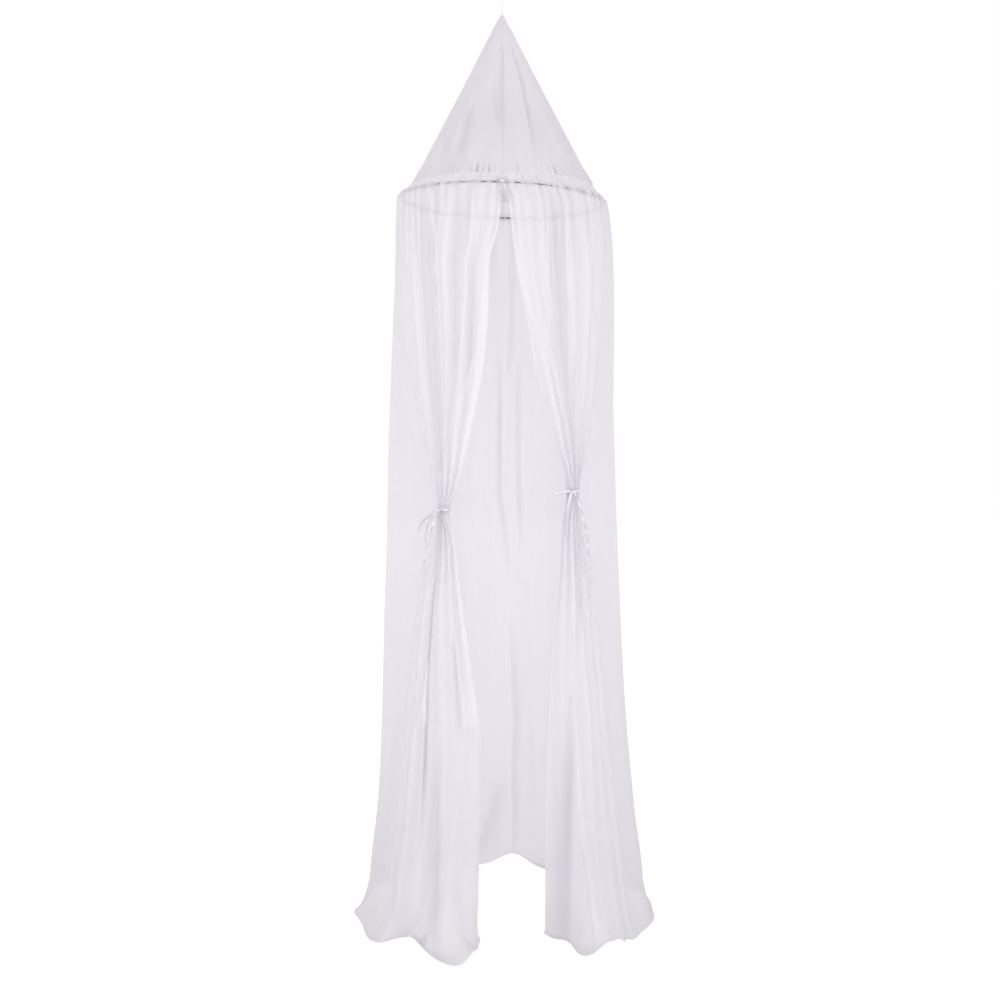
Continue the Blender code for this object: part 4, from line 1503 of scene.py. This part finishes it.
    def heights(self, place: Array, level: Array) -> Array:
        """Height above the hem's level: straight runs between the seam, the tilted hoop, the two ties
        and the flare, and below it a power curve down to the hem.

        Args:
            place: Share across the net (rows, columns).
            level: Level of each row (rows, 1).

        Returns:
            The heights (rows, columns).
        """
        left, right = TIES[Side.LEFT].height, TIES[Side.RIGHT].height
        ties = left + (right - left) * ease(place)
        angle = TURN * place
        tilt = self.hoop_radius * math.tan(self.hoop_tilt) * np.sin(angle)
        crest = self.hoop_height + self.hoop_wire / 2 + tilt
        top = seam_height(angle) - self.cone_gap
        hem = self.hem_height + sum(rise * bell((place - at) / half) for at, rise, half in self.lifts)
        fall = np.clip(3 - level, 0.0, 1.0) ** self.drop_power
        return np.select([level <= 0, level <= 1, level <= 2],
                         [crest + (top - crest) * -level, crest + (ties - crest) * level,
                          ties + (self.flare_height - ties) * (level - 1)],
                         hem + (self.flare_height - hem) * fall)

    def surface(self) -> Shell:
        """The net as one open shell. Across each fold the cloth swings out and in as a sine, squared
        off in the tied pleats, as deep as the cloth between its ends allows. The hem's tips, the
        gathers, the creases and the turned edges are added square to the outline.

        Returns:
            The shell.
        """
        level = self.levels()[:, None]
        ends, shares, tied = self.spans()
        counts = np.where(tied, self.pleat_columns, self.fold_columns)
        fold = np.append(np.repeat(np.arange(len(shares)), counts), len(shares) - 1)
        phase = np.append(np.concatenate([np.arange(count) / count for count in counts]), 1.0)
        span = np.diff(ends)[fold]
        pleated = tied[fold][None, :]
        turn = TURN * phase[None, :]
        square = np.where(pleated, self.crisp(level), 1.0)
        stair = np.arctan2(square * np.sin(turn), np.cos(turn)) % TURN / TURN
        stair = np.where(phase[None, :] >= 1.0, 1.0, stair)
        warped = ends[fold] + span * stair
        place = (ends[fold] + span * phase)[None, :]
        tangent = unit(self.outline(np.clip(warped + self.tangent_reach, 0, 1), level)
                       - self.outline(np.clip(warped - self.tangent_reach, 0, 1), level))
        outwards = np.stack([-tangent[..., 1], tangent[..., 0]], axis=-1)
        wave = np.sin(turn) / np.hypot(np.sin(turn), square * np.cos(turn))
        pitch = self.pitches(level, ends)[:, fold]
        spare = np.sqrt(np.maximum((self.width * span) ** 2 - pitch ** 2, 0.0)) / 4
        share = np.where(pleated, self.pleat(level), self.fold(level))
        full = np.where(pleated, ease(1 - np.abs(level - 1) / self.full_pleats), 0.0)
        depth = wave * spare * (shares[fold] + (1 - shares[fold]) * full) * share * self.taper(place, level)
        flare = np.clip(level - 2, 0, 1) ** self.trail_power
        depth = depth + flare * sum(out * bell((place - at) / half) for at, out, half in self.tips)
        depth = depth + sum(gathering.relief(place, level) for gathering in self.gatherings)
        across = np.broadcast_to(place * self.width, depth.shape)
        heights = np.broadcast_to(self.heights(place, level), depth.shape)
        down = SEAM_HEIGHT - heights
        relief, tone = creased(NET_CREASES, across, down)
        doubled = np.zeros(across.shape)
        for strip in TURNED_EDGES:
            inside, rim = strip.cover(across, down)
            relief = relief + strip.proud * inside
            # painted light and shade of the turned edges, laid over the creases'
            tone = tone * (1 - strip.covering * inside) + strip.light * inside + strip.rim * rim
            doubled = doubled + strip.layers * inside
        plan = self.outline(warped, level) + outwards * (depth + relief)[..., None]
        points = np.concatenate([plan, (heights - HANG_HEIGHT)[..., None]], axis=-1)
        marks = self.marks(points, place, level, np.clip(tone, -1.0, 1.0))
        marks["packing"] = marks["packing"] + doubled
        return Shell(points, stacked(across, down), marks)

    def pitches(self, level: Array, ends: Array) -> Array:
        """The outline's length across each fold, measured in short steps.

        Args:
            level: Level of each row (rows, 1).
            ends: The folds' ends.

        Returns:
            Lengths (rows, folds).
        """
        steps = self.pitch_steps
        runs = [np.linspace(a, b, steps + 1)[:-1] for a, b in zip(ends[:-1], ends[1:])]
        fine = np.concatenate([*runs, ends[-1:]])
        path = self.outline(np.broadcast_to(fine, (len(level), len(fine))), level)
        lengths = np.linalg.norm(np.diff(path, axis=1), axis=-1)
        return lengths.reshape(len(level), -1, steps).sum(axis=-1)

    def taper(self, place: Array, level: Array) -> Array:
        """How deep the folds are near a tie: the stack is rounded at both of its ends, and the cloth
        beside it lies flat.

        Args:
            place: Share across the net (1, columns).
            level: Level of each row (rows, 1).

        Returns:
            Shares of depth (rows, columns).
        """
        nearest = np.minimum(place, 1 - place) / self.bundle_share
        rounding = np.sqrt(1 - ((np.clip(nearest, 0, 1) - 0.5) / self.stack_rounding) ** 2)
        tied = ease(1 - np.abs(level - 1) / self.tied_levels)
        return np.where(nearest < 1, 1 + (rounding - 1) * tied,
                        1 - tied * (1 - ease((nearest - 1) / self.tied_fade)))

    def wire_height(self, place: Array) -> Array:
        """The height of the wire's middle at a share across the net."""
        return self.heights(place, HOOP_LEVEL) - self.hoop_wire / 2

    def packed(self, points: Array, place: Array) -> Array:
        """How closely the cloth is packed: flat cloth over the width that it takes up, evened out.

        Args:
            points: The net's points.
            place: Share across the net (1, columns).

        Returns:
            Layers of cloth (rows, columns).
        """
        taken = np.linalg.norm(np.gradient(points, axis=1), axis=-1)
        flat = np.gradient(np.broadcast_to(place, taken.shape), axis=1) * self.width
        kernel, margin = np.ones(self.smoothing) / self.smoothing, self.smoothing // 2
        rows = np.pad(flat / np.maximum(taken, 1e-5), ((0, 0), (margin, margin)), mode="edge")
        return np.apply_along_axis(np.convolve, 1, rows, kernel, "valid")

    def marks(self, points: Array, place: Array, level: Array, tone: Array) -> dict[str, Array]:
        """What the finish reads: how closely the cloth is packed, where it is hemmed, where the hoop
        shows, and where light and shade are painted on it.

        Args:
            points: The net's points.
            place: Share across the net (1, columns).
            level: Level of each row (rows, 1).
            tone: The creases' and the turned edges' painted light and shade.

        Returns:
            The numbers by name.
        """
        packed = self.packed(points, place)
        height = self.heights(place, level)
        inwards = np.minimum(place, 1 - place)
        low = height - self.heights(place, HEM_LEVEL)
        low_hem = (1 - zoned(low, self.low_hem)) * (level > self.low_hem_level)
        hem = np.maximum(1 - zoned(inwards * self.width, self.edge_hem), low_hem)
        on_wire = bell((height - self.wire_height(place)) / self.wire_half_width)
        shown = sum(showing.at(self.angle(place)) for showing in self.seen_outside)
        # painted light along the front edges, above the ties
        edging = bell(inwards / self.highlight_width) * zoned(level, self.highlight_start)
        edging = self.edge_highlight * (edging * (1 - zoned(level, self.highlight_end)))
        # painted light on the tied stacks, over the shade in their folds
        stack_highlight = self.packed_highlight * zoned(packed, self.packed_zone) * zoned(level, self.packed_levels)
        # painted shade in the gathers' hollows and on the heading under the hoop
        gathers = sum(gathering.hollows(place, level) for gathering in self.gatherings[:2])
        heading = self.heading_shade * (1 - zoned(level, self.heading_end))
        # the light mark is painted light and the dark mark painted shade, each with the creases' and turned
        # edges' own
        return {"packing": np.clip(packed, *self.packing_range), "hem": np.broadcast_to(hem, packed.shape),
                "thin": on_wire * np.minimum(shown, 1),
                "light": np.clip(edging + stack_highlight + tone, 0.0, 1.0),
                "dark": np.clip(self.gather_shade * gathers + heading - tone, 0.0, 1.0)}

    def casing(self) -> Shell:
        """The net's own casing, which runs round inside the hoop: its section starts on the heading over
        the wire, passes inside it and ends on the net below, and the wire shows where it is thin.

        Returns:
            The shell.
        """
        place = np.linspace(*self.casing_ends, self.casing_columns)[None, :]
        rise = np.array(self.casing_rise)[:, None]
        angle = self.angle(place)
        ruck = self.casing_ruck * self.casing_ripple.at(angle)
        radius = self.hoop_radius + np.array(self.casing_reach)[:, None] + ruck
        height = self.wire_height(place) + rise
        shown = np.minimum(sum(showing.at(angle) for showing in self.seen_inside), 1)
        on_wire = bell(np.square(rise / self.hoop_wire))
        return Shell(around(radius, -angle, height - HANG_HEIGHT),
                     stacked(place * self.width, SEAM_HEIGHT - height),
                     {"packing": np.ones((1, 1)), "thin": shown * on_wire})

    def build(self, finish: Material) -> Piece:
        """Builds the net.

        Args:
            finish: Its material.

        Returns:
            The piece.
        """
        net = make_piece("draped_net", [self.surface(), self.casing()], finish, weld=False)
        report(net, "sheer_cloth", "curtain")
        return net


# The drape's ridges, and its valleys below zero: metres across from the left front edge and metres
# under the seam, then the height, the half width and the tone, which is painted light, or painted shade
# below zero, and how far the gentle side fades where that isn't the usual. Some have no height: they
# are painted shade alone.
NET_CREASES: tuple[Crease, ...] = (
    # the left panel above its tie, from its edge outwards
    Crease(((0.00, 0.13), (0.02, 0.30), (0.03, 0.48), (0.03, 0.76)), 0.0055, 0.006, 0.20),
    Crease(((0.06, 0.12), (0.07, 0.40), (0.07, 0.70)), -0.0050, 0.008, -0.20),
    Crease(((0.11, 0.07), (0.11, 0.50), (0.11, 0.77)), 0.0070, 0.006, 0.15),
    Crease(((0.15, 0.06), (0.15, 0.34), (0.15, 0.60)), -0.0060, 0.007, -0.06, -2.6),
    Crease(((0.19, 0.07), (0.18, 0.36)), 0.0055, 0.006, 0.40),
    Crease(((0.23, 0.07), (0.23, 0.50), (0.24, 0.72)), 0.0060, 0.006, 0.12),
    Crease(((0.27, 0.08), (0.27, 0.62), (0.28, 0.77)), -0.0080, 0.007, -0.06, 3.4),
    Crease(((0.36, 0.10), (0.36, 0.62)), 0.0050, 0.009, 0.12),
    Crease(((0.12, 0.04), (0.12, 0.52)), 0.0, 0.055, -0.14, 1.0),
    # the left panel below its tie, with its turned flap and the fold's pointed tip
    Crease(((0.02, 0.84), (0.02, 1.22)), 0.0050, 0.007, 0.45),
    Crease(((0.03, 1.12), (0.06, 1.20), (0.08, 1.31)), 0.0070, 0.007, 0.20),
    Crease(((0.10, 1.06), (0.09, 1.22), (0.10, 1.34)), -0.0080, 0.006, -0.25, 3.4),
    Crease(((0.29, 0.80), (0.29, 1.31), (0.26, 1.62)), -0.0100, 0.006, -0.60, -3.0),
    Crease(((0.27, 1.16), (0.29, 1.25), (0.35, 1.31)), 0.0070, 0.007, 0.20),
    Crease(((0.20, 1.30), (0.19, 1.50), (0.16, 1.70), (0.13, 1.96)), -0.0085, 0.015, -0.28),
    Crease(((0.12, 1.46), (0.08, 1.48), (0.03, 1.48)), -0.0040, 0.005, 0.30, 1.0),
    Crease(((0.16, 1.79), (0.19, 1.80), (0.22, 1.80)), 0.0, 0.011, -0.60, 1.0),
    # the right panel above its tie
    Crease(((2.38, 0.14), (2.38, 0.34), (2.35, 0.50), (2.35, 0.74)), 0.0055, 0.006, 0.20, -2.6),
    Crease(((2.32, 0.31), (2.32, 0.46), (2.26, 0.64), (2.26, 0.73)), 0.0070, 0.006, 0.20, -2.6),
    Crease(((2.24, 0.05), (2.24, 0.58)), -0.0080, 0.008, -0.08, -3.4),
    Crease(((2.29, 0.07), (2.28, 0.40), (2.27, 0.60)), 0.0050, 0.007, 0.25),
    Crease(((2.16, 0.40), (2.17, 0.74)), -0.0060, 0.007, -0.22),
    Crease(((2.08, 0.10), (2.08, 0.61)), 0.0050, 0.009, 0.12),
    Crease(((2.27, 0.04), (2.26, 0.50)), 0.0, 0.055, -0.14, 1.0),
    # the right panel below its tie, with the deep valley that opens towards the hem
    Crease(((2.24, 0.76), (2.24, 1.12)), 0.0070, 0.008, 0.45),
    Crease(((2.09, 0.81), (2.15, 0.96), (2.16, 1.12)), -0.0080, 0.009, -0.24),
    Crease(((2.26, 1.16), (2.27, 1.23), (2.32, 1.29)), 0.0070, 0.008, 0.20),
    Crease(((2.27, 1.20), (2.28, 1.40), (2.31, 1.60), (2.33, 1.80), (2.34, 2.10)), -0.0110, 0.020, -0.34),
    Crease(((2.24, 1.26), (2.24, 1.50), (2.21, 1.70), (2.20, 1.96)), 0.0080, 0.007, 0.50, -2.6),
    Crease(((2.15, 1.16), (2.15, 1.50)), 0.0050, 0.009, 0.12),
    # the back, as seen between the panels
    Crease(((1.23, 0.11), (1.22, 0.40), (1.21, 0.45), (1.22, 0.50)), 0.0085, 0.005, -0.28),
    Crease(((1.19, 0.36), (1.19, 0.78), (1.21, 0.89), (1.22, 1.04)), 0.0090, 0.005, -0.34, -2.6),
    Crease(((1.25, 0.38), (1.25, 0.74), (1.26, 0.96)), 0.0085, 0.005, -0.30),
    Crease(((1.27, 0.05), (1.29, 0.50), (1.28, 1.10)), 0.0060, 0.009, 0.15),
    Crease(((1.15, 0.30), (1.14, 0.80), (1.16, 1.40)), 0.0060, 0.010, 0.15, -2.6),
    Crease(((1.22, 1.06), (1.23, 1.39), (1.22, 1.52), (1.22, 1.90)), 0.0090, 0.006, -0.28),
    Crease(((1.19, 1.54), (1.14, 1.68), (1.10, 1.82)), 0.0060, 0.012, -0.22),
)


TURNED_EDGES: tuple[TurnedEdge, ...] = (
    # the left panel's edge above its tie, painted light, and two of its pleats, painted dark, each behind
    # a painted light rim
    TurnedEdge(((0.00, 0.14), (0.00, 0.70)),
               ((0.00, 0.14), (0.02, 0.30), (0.05, 0.43), (0.10, 0.53), (0.13, 0.70)), 0.22, 0.45, 0.2),
    TurnedEdge(((0.17, 0.05), (0.17, 0.40), (0.22, 0.68)),
               ((0.10, 0.05), (0.09, 0.20), (0.11, 0.43), (0.14, 0.53), (0.18, 0.68)), -0.10, 0.60, 0.0),
    TurnedEdge(((0.32, 0.04), (0.32, 0.70)),
               ((0.26, 0.04), (0.26, 0.11), (0.23, 0.20), (0.22, 0.70)), -0.17, 0.60, 0.0),
    # its edge below the tie, and the fold's pointed tip, both painted light with a painted dark rim
    TurnedEdge(((0.00, 0.86), (0.00, 1.30)),
               ((0.02, 0.86), (0.03, 1.00), (0.05, 1.15), (0.09, 1.30)), 0.40, -0.40),
    TurnedEdge(((0.29, 1.12), (0.29, 1.31)), ((0.29, 1.12), (0.31, 1.22), (0.36, 1.31)), 0.40, -0.60),
    # the right panel above its tie: painted shade on the dark side of its one wide pleat
    TurnedEdge(((2.19, 0.04), (2.20, 0.66)),
               ((2.26, 0.04), (2.27, 0.20), (2.30, 0.40), (2.28, 0.53), (2.24, 0.66)), -0.20, 0.40, 0.0),
)


# --- The ribbons ---


@dataclass(frozen=True)
class Tail:
    """A ribbon's free end.

    Attributes:
        start: Where it leaves its knot, from the knot's middle.
        lean: How far it has swung to the side and back at its end.
        fall: How far it falls.
        turns: How often it twists as it falls.
        phase: Which way its flat side faces at the knot, in radians.
        early: The larger this is, the sooner it swings out.
    """

    start: Triple
    lean: Pair
    fall: float
    turns: float
    phase: float
    early: float = 2.2

    def path(self, knot: Array, points: int) -> tuple[Array, Array]:
        """The tail's points and the way across its width. It swings out early and then falls straight:
        one less a power of what is left of the fall. Its flat side turns steadily as it falls.

        Args:
            knot: Where its knot is.
            points: How many points it has.

        Returns:
            The points and the directions.
        """
        t = np.linspace(0.0, 1.0, points)
        swing = 1 - (1 - t) ** self.early
        path = (knot + np.array(self.start) + np.outer(swing, (*self.lean, 0.0))
                + np.outer(-self.fall * t, UPWARDS))
        twist = self.phase + TURN * self.turns * t
        face = stacked(np.sin(twist), -np.cos(twist), 0.0)
        return path, np.cross(unit(np.gradient(path, axis=0)), face)


@dataclass
class Ribbon:
    """A narrow ribbon with rounded edges, a little cupped along its middle."""

    width: float = 0.007
    thickness: float = 0.0011
    cup: float = 0.0005
    sides: int = 7
    rounding: int = 6

    def section(self) -> tuple[Array, Array]:
        """The ribbon's outline, there and back: half the thickness fades at both edges, on a shallow
        cup that goes with the square of the distance from the middle.

        Returns:
            The outline and how near each of its points is to an edge.
        """
        x = np.cos(np.linspace(0.0, math.pi, self.sides + 2))
        thick = self.thickness / 2 * (1 - np.abs(x) ** self.rounding)
        cup = self.cup * (x ** 2 - 0.5)
        there = np.column_stack([x * self.width / 2, cup + thick])
        back = np.column_stack([x[::-1] * self.width / 2, (cup - thick)[::-1]])[1:-1]
        outline = np.concatenate([there, back])
        return outline, np.abs(outline[:, 0] * 2 / self.width) ** self.rounding

    def along(self, path: Array, across: Array) -> Shell:
        """The ribbon carried along a path."""
        outline, edge = self.section()
        return swept(path, across, outline, {"edge": edge}, 2 * self.width)


@dataclass(frozen=True)
class Knot:
    """A tied knot of ribbon: a rounded lump with two bands crossing over its front.

    Attributes:
        radii: Half its size each way.
        sides: Its points round.
        rows: Its points from the top to the bottom.
        cloth: The flat size of the ribbon on it.
        core: How much of its radius is left beside the bands.
        ridge: How much of it the bands add.
        bands: Each band's slant, shift, half width and strength, on a ball of radius 1.
        flat_bands: The strength over which the bands rise no higher.
        bright: The bands' strength from which the knot gets no painted shade; away from its bands it is
            painted darker.
    """

    radii: Triple
    sides: int = 48
    rows: int = 33
    cloth: Pair = (0.03, 0.012)
    core: float = 0.90
    ridge: float = 0.13
    bands: tuple[tuple[float, float, float, float], ...] = ((-0.9, 0.0, 0.42, 1.0), (0.8, 0.15, 0.34, 0.8))
    flat_bands: float = 1.2
    bright: float = 1.1

    def at(self, centre: Array, turn: float) -> Shell:
        """The knot as a sphere stretched to its radii and raised along its two slanting bands.

        Args:
            centre: Its middle.
            turn: How far its front is turned from -Y towards +X.

        Returns:
            The shell.
        """
        polar = np.linspace(0.0, math.pi, self.rows)[:, None]
        ball = around(np.sin(polar), full_turn(self.sides)[None, :], np.cos(polar))
        x, z = ball[..., 0], ball[..., 2]
        bands = sum(strength * bell((z + slant * x + shift) / half)
                    for slant, shift, half, strength in self.bands)
        swell = self.core + self.ridge * np.clip(bands, 0.0, self.flat_bands)
        x, y, z = np.moveaxis(ball * self.radii * swell[..., None], -1, 0)
        c, s = math.cos(turn), math.sin(turn)
        cloth = flat_patch(self.cloth, self.sides + 1, self.rows)
        # painted shade on the knot away from its bands, by the edge mark
        return Shell(stacked(x * c - y * s, x * s + y * c, z) + centre, cloth,
                     {"edge": np.clip(self.bright - bands, 0.0, 1.0)}, closed=True)


@dataclass
class Tie:
    """A ribbon tie: its band round the bundle, its knot and its free ends."""

    side: Side
    tails: tuple[Tail, ...]
    ribbon: Ribbon = field(default_factory=Ribbon)
    band_radius: float = 0.0165
    band_points: int = 90
    knot: Knot = Knot((0.0052, 0.0036, 0.0046))
    knot_sink: float = 0.0002
    opening: float = 0.70
    shortest_cord: float = 0.045
    tail_points: int = 40
    turn_points: int = 60

    def knot_place(self) -> Array:
        """The knot's middle, on the band's front."""
        place = TIES[self.side]
        towards = np.array([math.sin(place.knot_turn), -math.cos(place.knot_turn), 0.0])
        return place.centre() + towards * (self.band_radius + self.knot.radii[1] - self.knot_sink)

    def band(self) -> Shell:
        """The band: a ring round the bundle that is open at the bundle's outer end.

        Returns:
            The shell.
        """
        place = TIES[self.side]
        x, y = place.along()
        turn = math.atan2(y, x) + np.linspace(self.opening, TURN - self.opening, self.band_points)
        return self.ribbon.along(place.centre() + stacked(np.cos(turn), np.sin(turn), 0.0) * self.band_radius,
                                 UPWARDS)

    def build(self, finish: Material) -> list[Piece]:
        """Builds the tie. Its longer free ends are pieces of their own.

        Args:
            finish: The ribbon's material.

        Returns:
            The pieces.
        """
        knot = self.knot_place()
        shells = [self.band(), self.knot.at(knot, TIES[self.side].knot_turn)]
        long_ends = []
        for tail in self.tails:
            path, across = tail.path(knot, int(self.turn_points * tail.turns) + self.tail_points)
            if run_along(path)[-1] < self.shortest_cord:
                shells.append(self.ribbon.along(path, across))
            else:
                long_ends.append((path, across))
        pieces = [make_piece(f"{self.side.value}_tie", shells, finish)]
        for number, (path, across) in enumerate(long_ends):
            end = make_piece(f"{self.side.value}_tie_end_{number}", [self.ribbon.along(path, across)], finish)
            pieces.append(end)
        for piece in pieces:
            report(piece, "ribbon", f"tie_{self.side.value}")
        return pieces


@dataclass
class Bow:
    """The small bow of ribbon over the parting, where the heading's ribbon is tied."""

    centre: Triple = (-0.001, -0.2578, -0.550)
    knot: Knot = Knot((0.0054, 0.0038, 0.0058))
    ribbon: Ribbon = field(default_factory=lambda: Ribbon(width=0.0046, thickness=0.0009, cup=0.0003))
    loop_half_length: float = 0.0068
    loop_half_height: float = 0.0042
    loop_points: int = 48
    loop_opening: float = 0.25
    loop_depth: float = 0.55
    loop_front: float = 0.0004
    loop_lean: Triple = (0.0, 1.0, 0.35)
    rise: float = 0.0060
    tails: tuple[Tail, ...] = (Tail((-0.0006, -0.001, -0.001), (-0.003, -0.002), 0.040, 0.4, 0.2),
                               Tail((0.0032, -0.001, -0.001), (0.016, -0.002), 0.052, 0.5, 0.2))
    tail_points: int = 48

    def loop(self, side: int) -> Shell:
        """One loop of the bow: ribbon that goes out from the knot and back over itself, as a closed
        teardrop in the plane that it is tied in.

        Args:
            side: -1 for the left loop and 1 for the right.

        Returns:
            The shell.
        """
        turn = np.linspace(self.loop_opening, TURN - self.loop_opening, self.loop_points)
        out = self.loop_half_length * (1 - np.cos(turn))
        swing = self.loop_half_height * np.sin(turn)
        lift = self.rise * out / (2 * self.loop_half_length)
        path = stacked(side * out, swing * self.loop_depth - self.loop_front, swing + lift)
        return self.ribbon.along(path + np.array(self.centre), np.array(self.loop_lean))

    def build(self, finish: Material) -> Piece:
        """Builds the bow.

        Args:
            finish: The ribbon's material.

        Returns:
            The piece.
        """
        centre = np.array(self.centre)
        tails = [self.ribbon.along(*tail.path(centre, self.tail_points)) for tail in self.tails]
        shells = [self.loop(-1), self.loop(1), self.knot.at(centre, 0.0), *tails]
        return report(make_piece("parting_bow", shells, finish), "ribbon", "heading_bow")


# --- The whole canopy ---


def dress_hoop(finish: Material) -> None:
    """Gives the hoop's own solid its finish.

    Args:
        finish: The wire's material.
    """
    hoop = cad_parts["hoop"]
    for slot in hoop.material_slots:
        slot.material = finish
    if not hoop.material_slots:
        hoop.data.materials.append(finish)
    log.info("hoop: dressed as it is")


def main() -> None:
    """Builds the canopy from its hanging cord down."""
    logging.basicConfig(level=logging.INFO, format="%(name)s: %(message)s")
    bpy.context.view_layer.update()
    PhotographView().place()
    HangingCord().build(TwistedCotton().material())
    Cone().build(ConeCloth().material())
    dress_hoop(CoatedWire().material())
    Net().build(SheerNet().material())
    satin = RibbonSatin().material()
    Tie(Side.LEFT, (
        Tail((-0.0035, -0.0005, 0.0022), (-0.030, -0.010), 0.072, 0.30, 0.3),
        Tail((-0.0010, -0.0015, -0.0030), (-0.036, -0.018), 0.150, 2.00, 0.8),
        Tail((-0.0040, 0.0002, -0.0012), (-0.044, -0.002), 0.046, 0.20, 0.2))).build(satin)
    Tie(Side.RIGHT, (
        Tail((0.0035, -0.0010, 0.0018), (0.035, -0.024), 0.250, 4.00, 0.1, 3.6),
        Tail((-0.0010, -0.0018, -0.0026), (-0.018, -0.026), 0.110, 0.40, 0.0),
        Tail((-0.0040, 0.0002, 0.0012), (-0.036, -0.002), 0.010, 0.00, 0.0))).build(satin)
    Bow().build(satin)
    Studio().build()


if __name__ == "__main__":
    main()
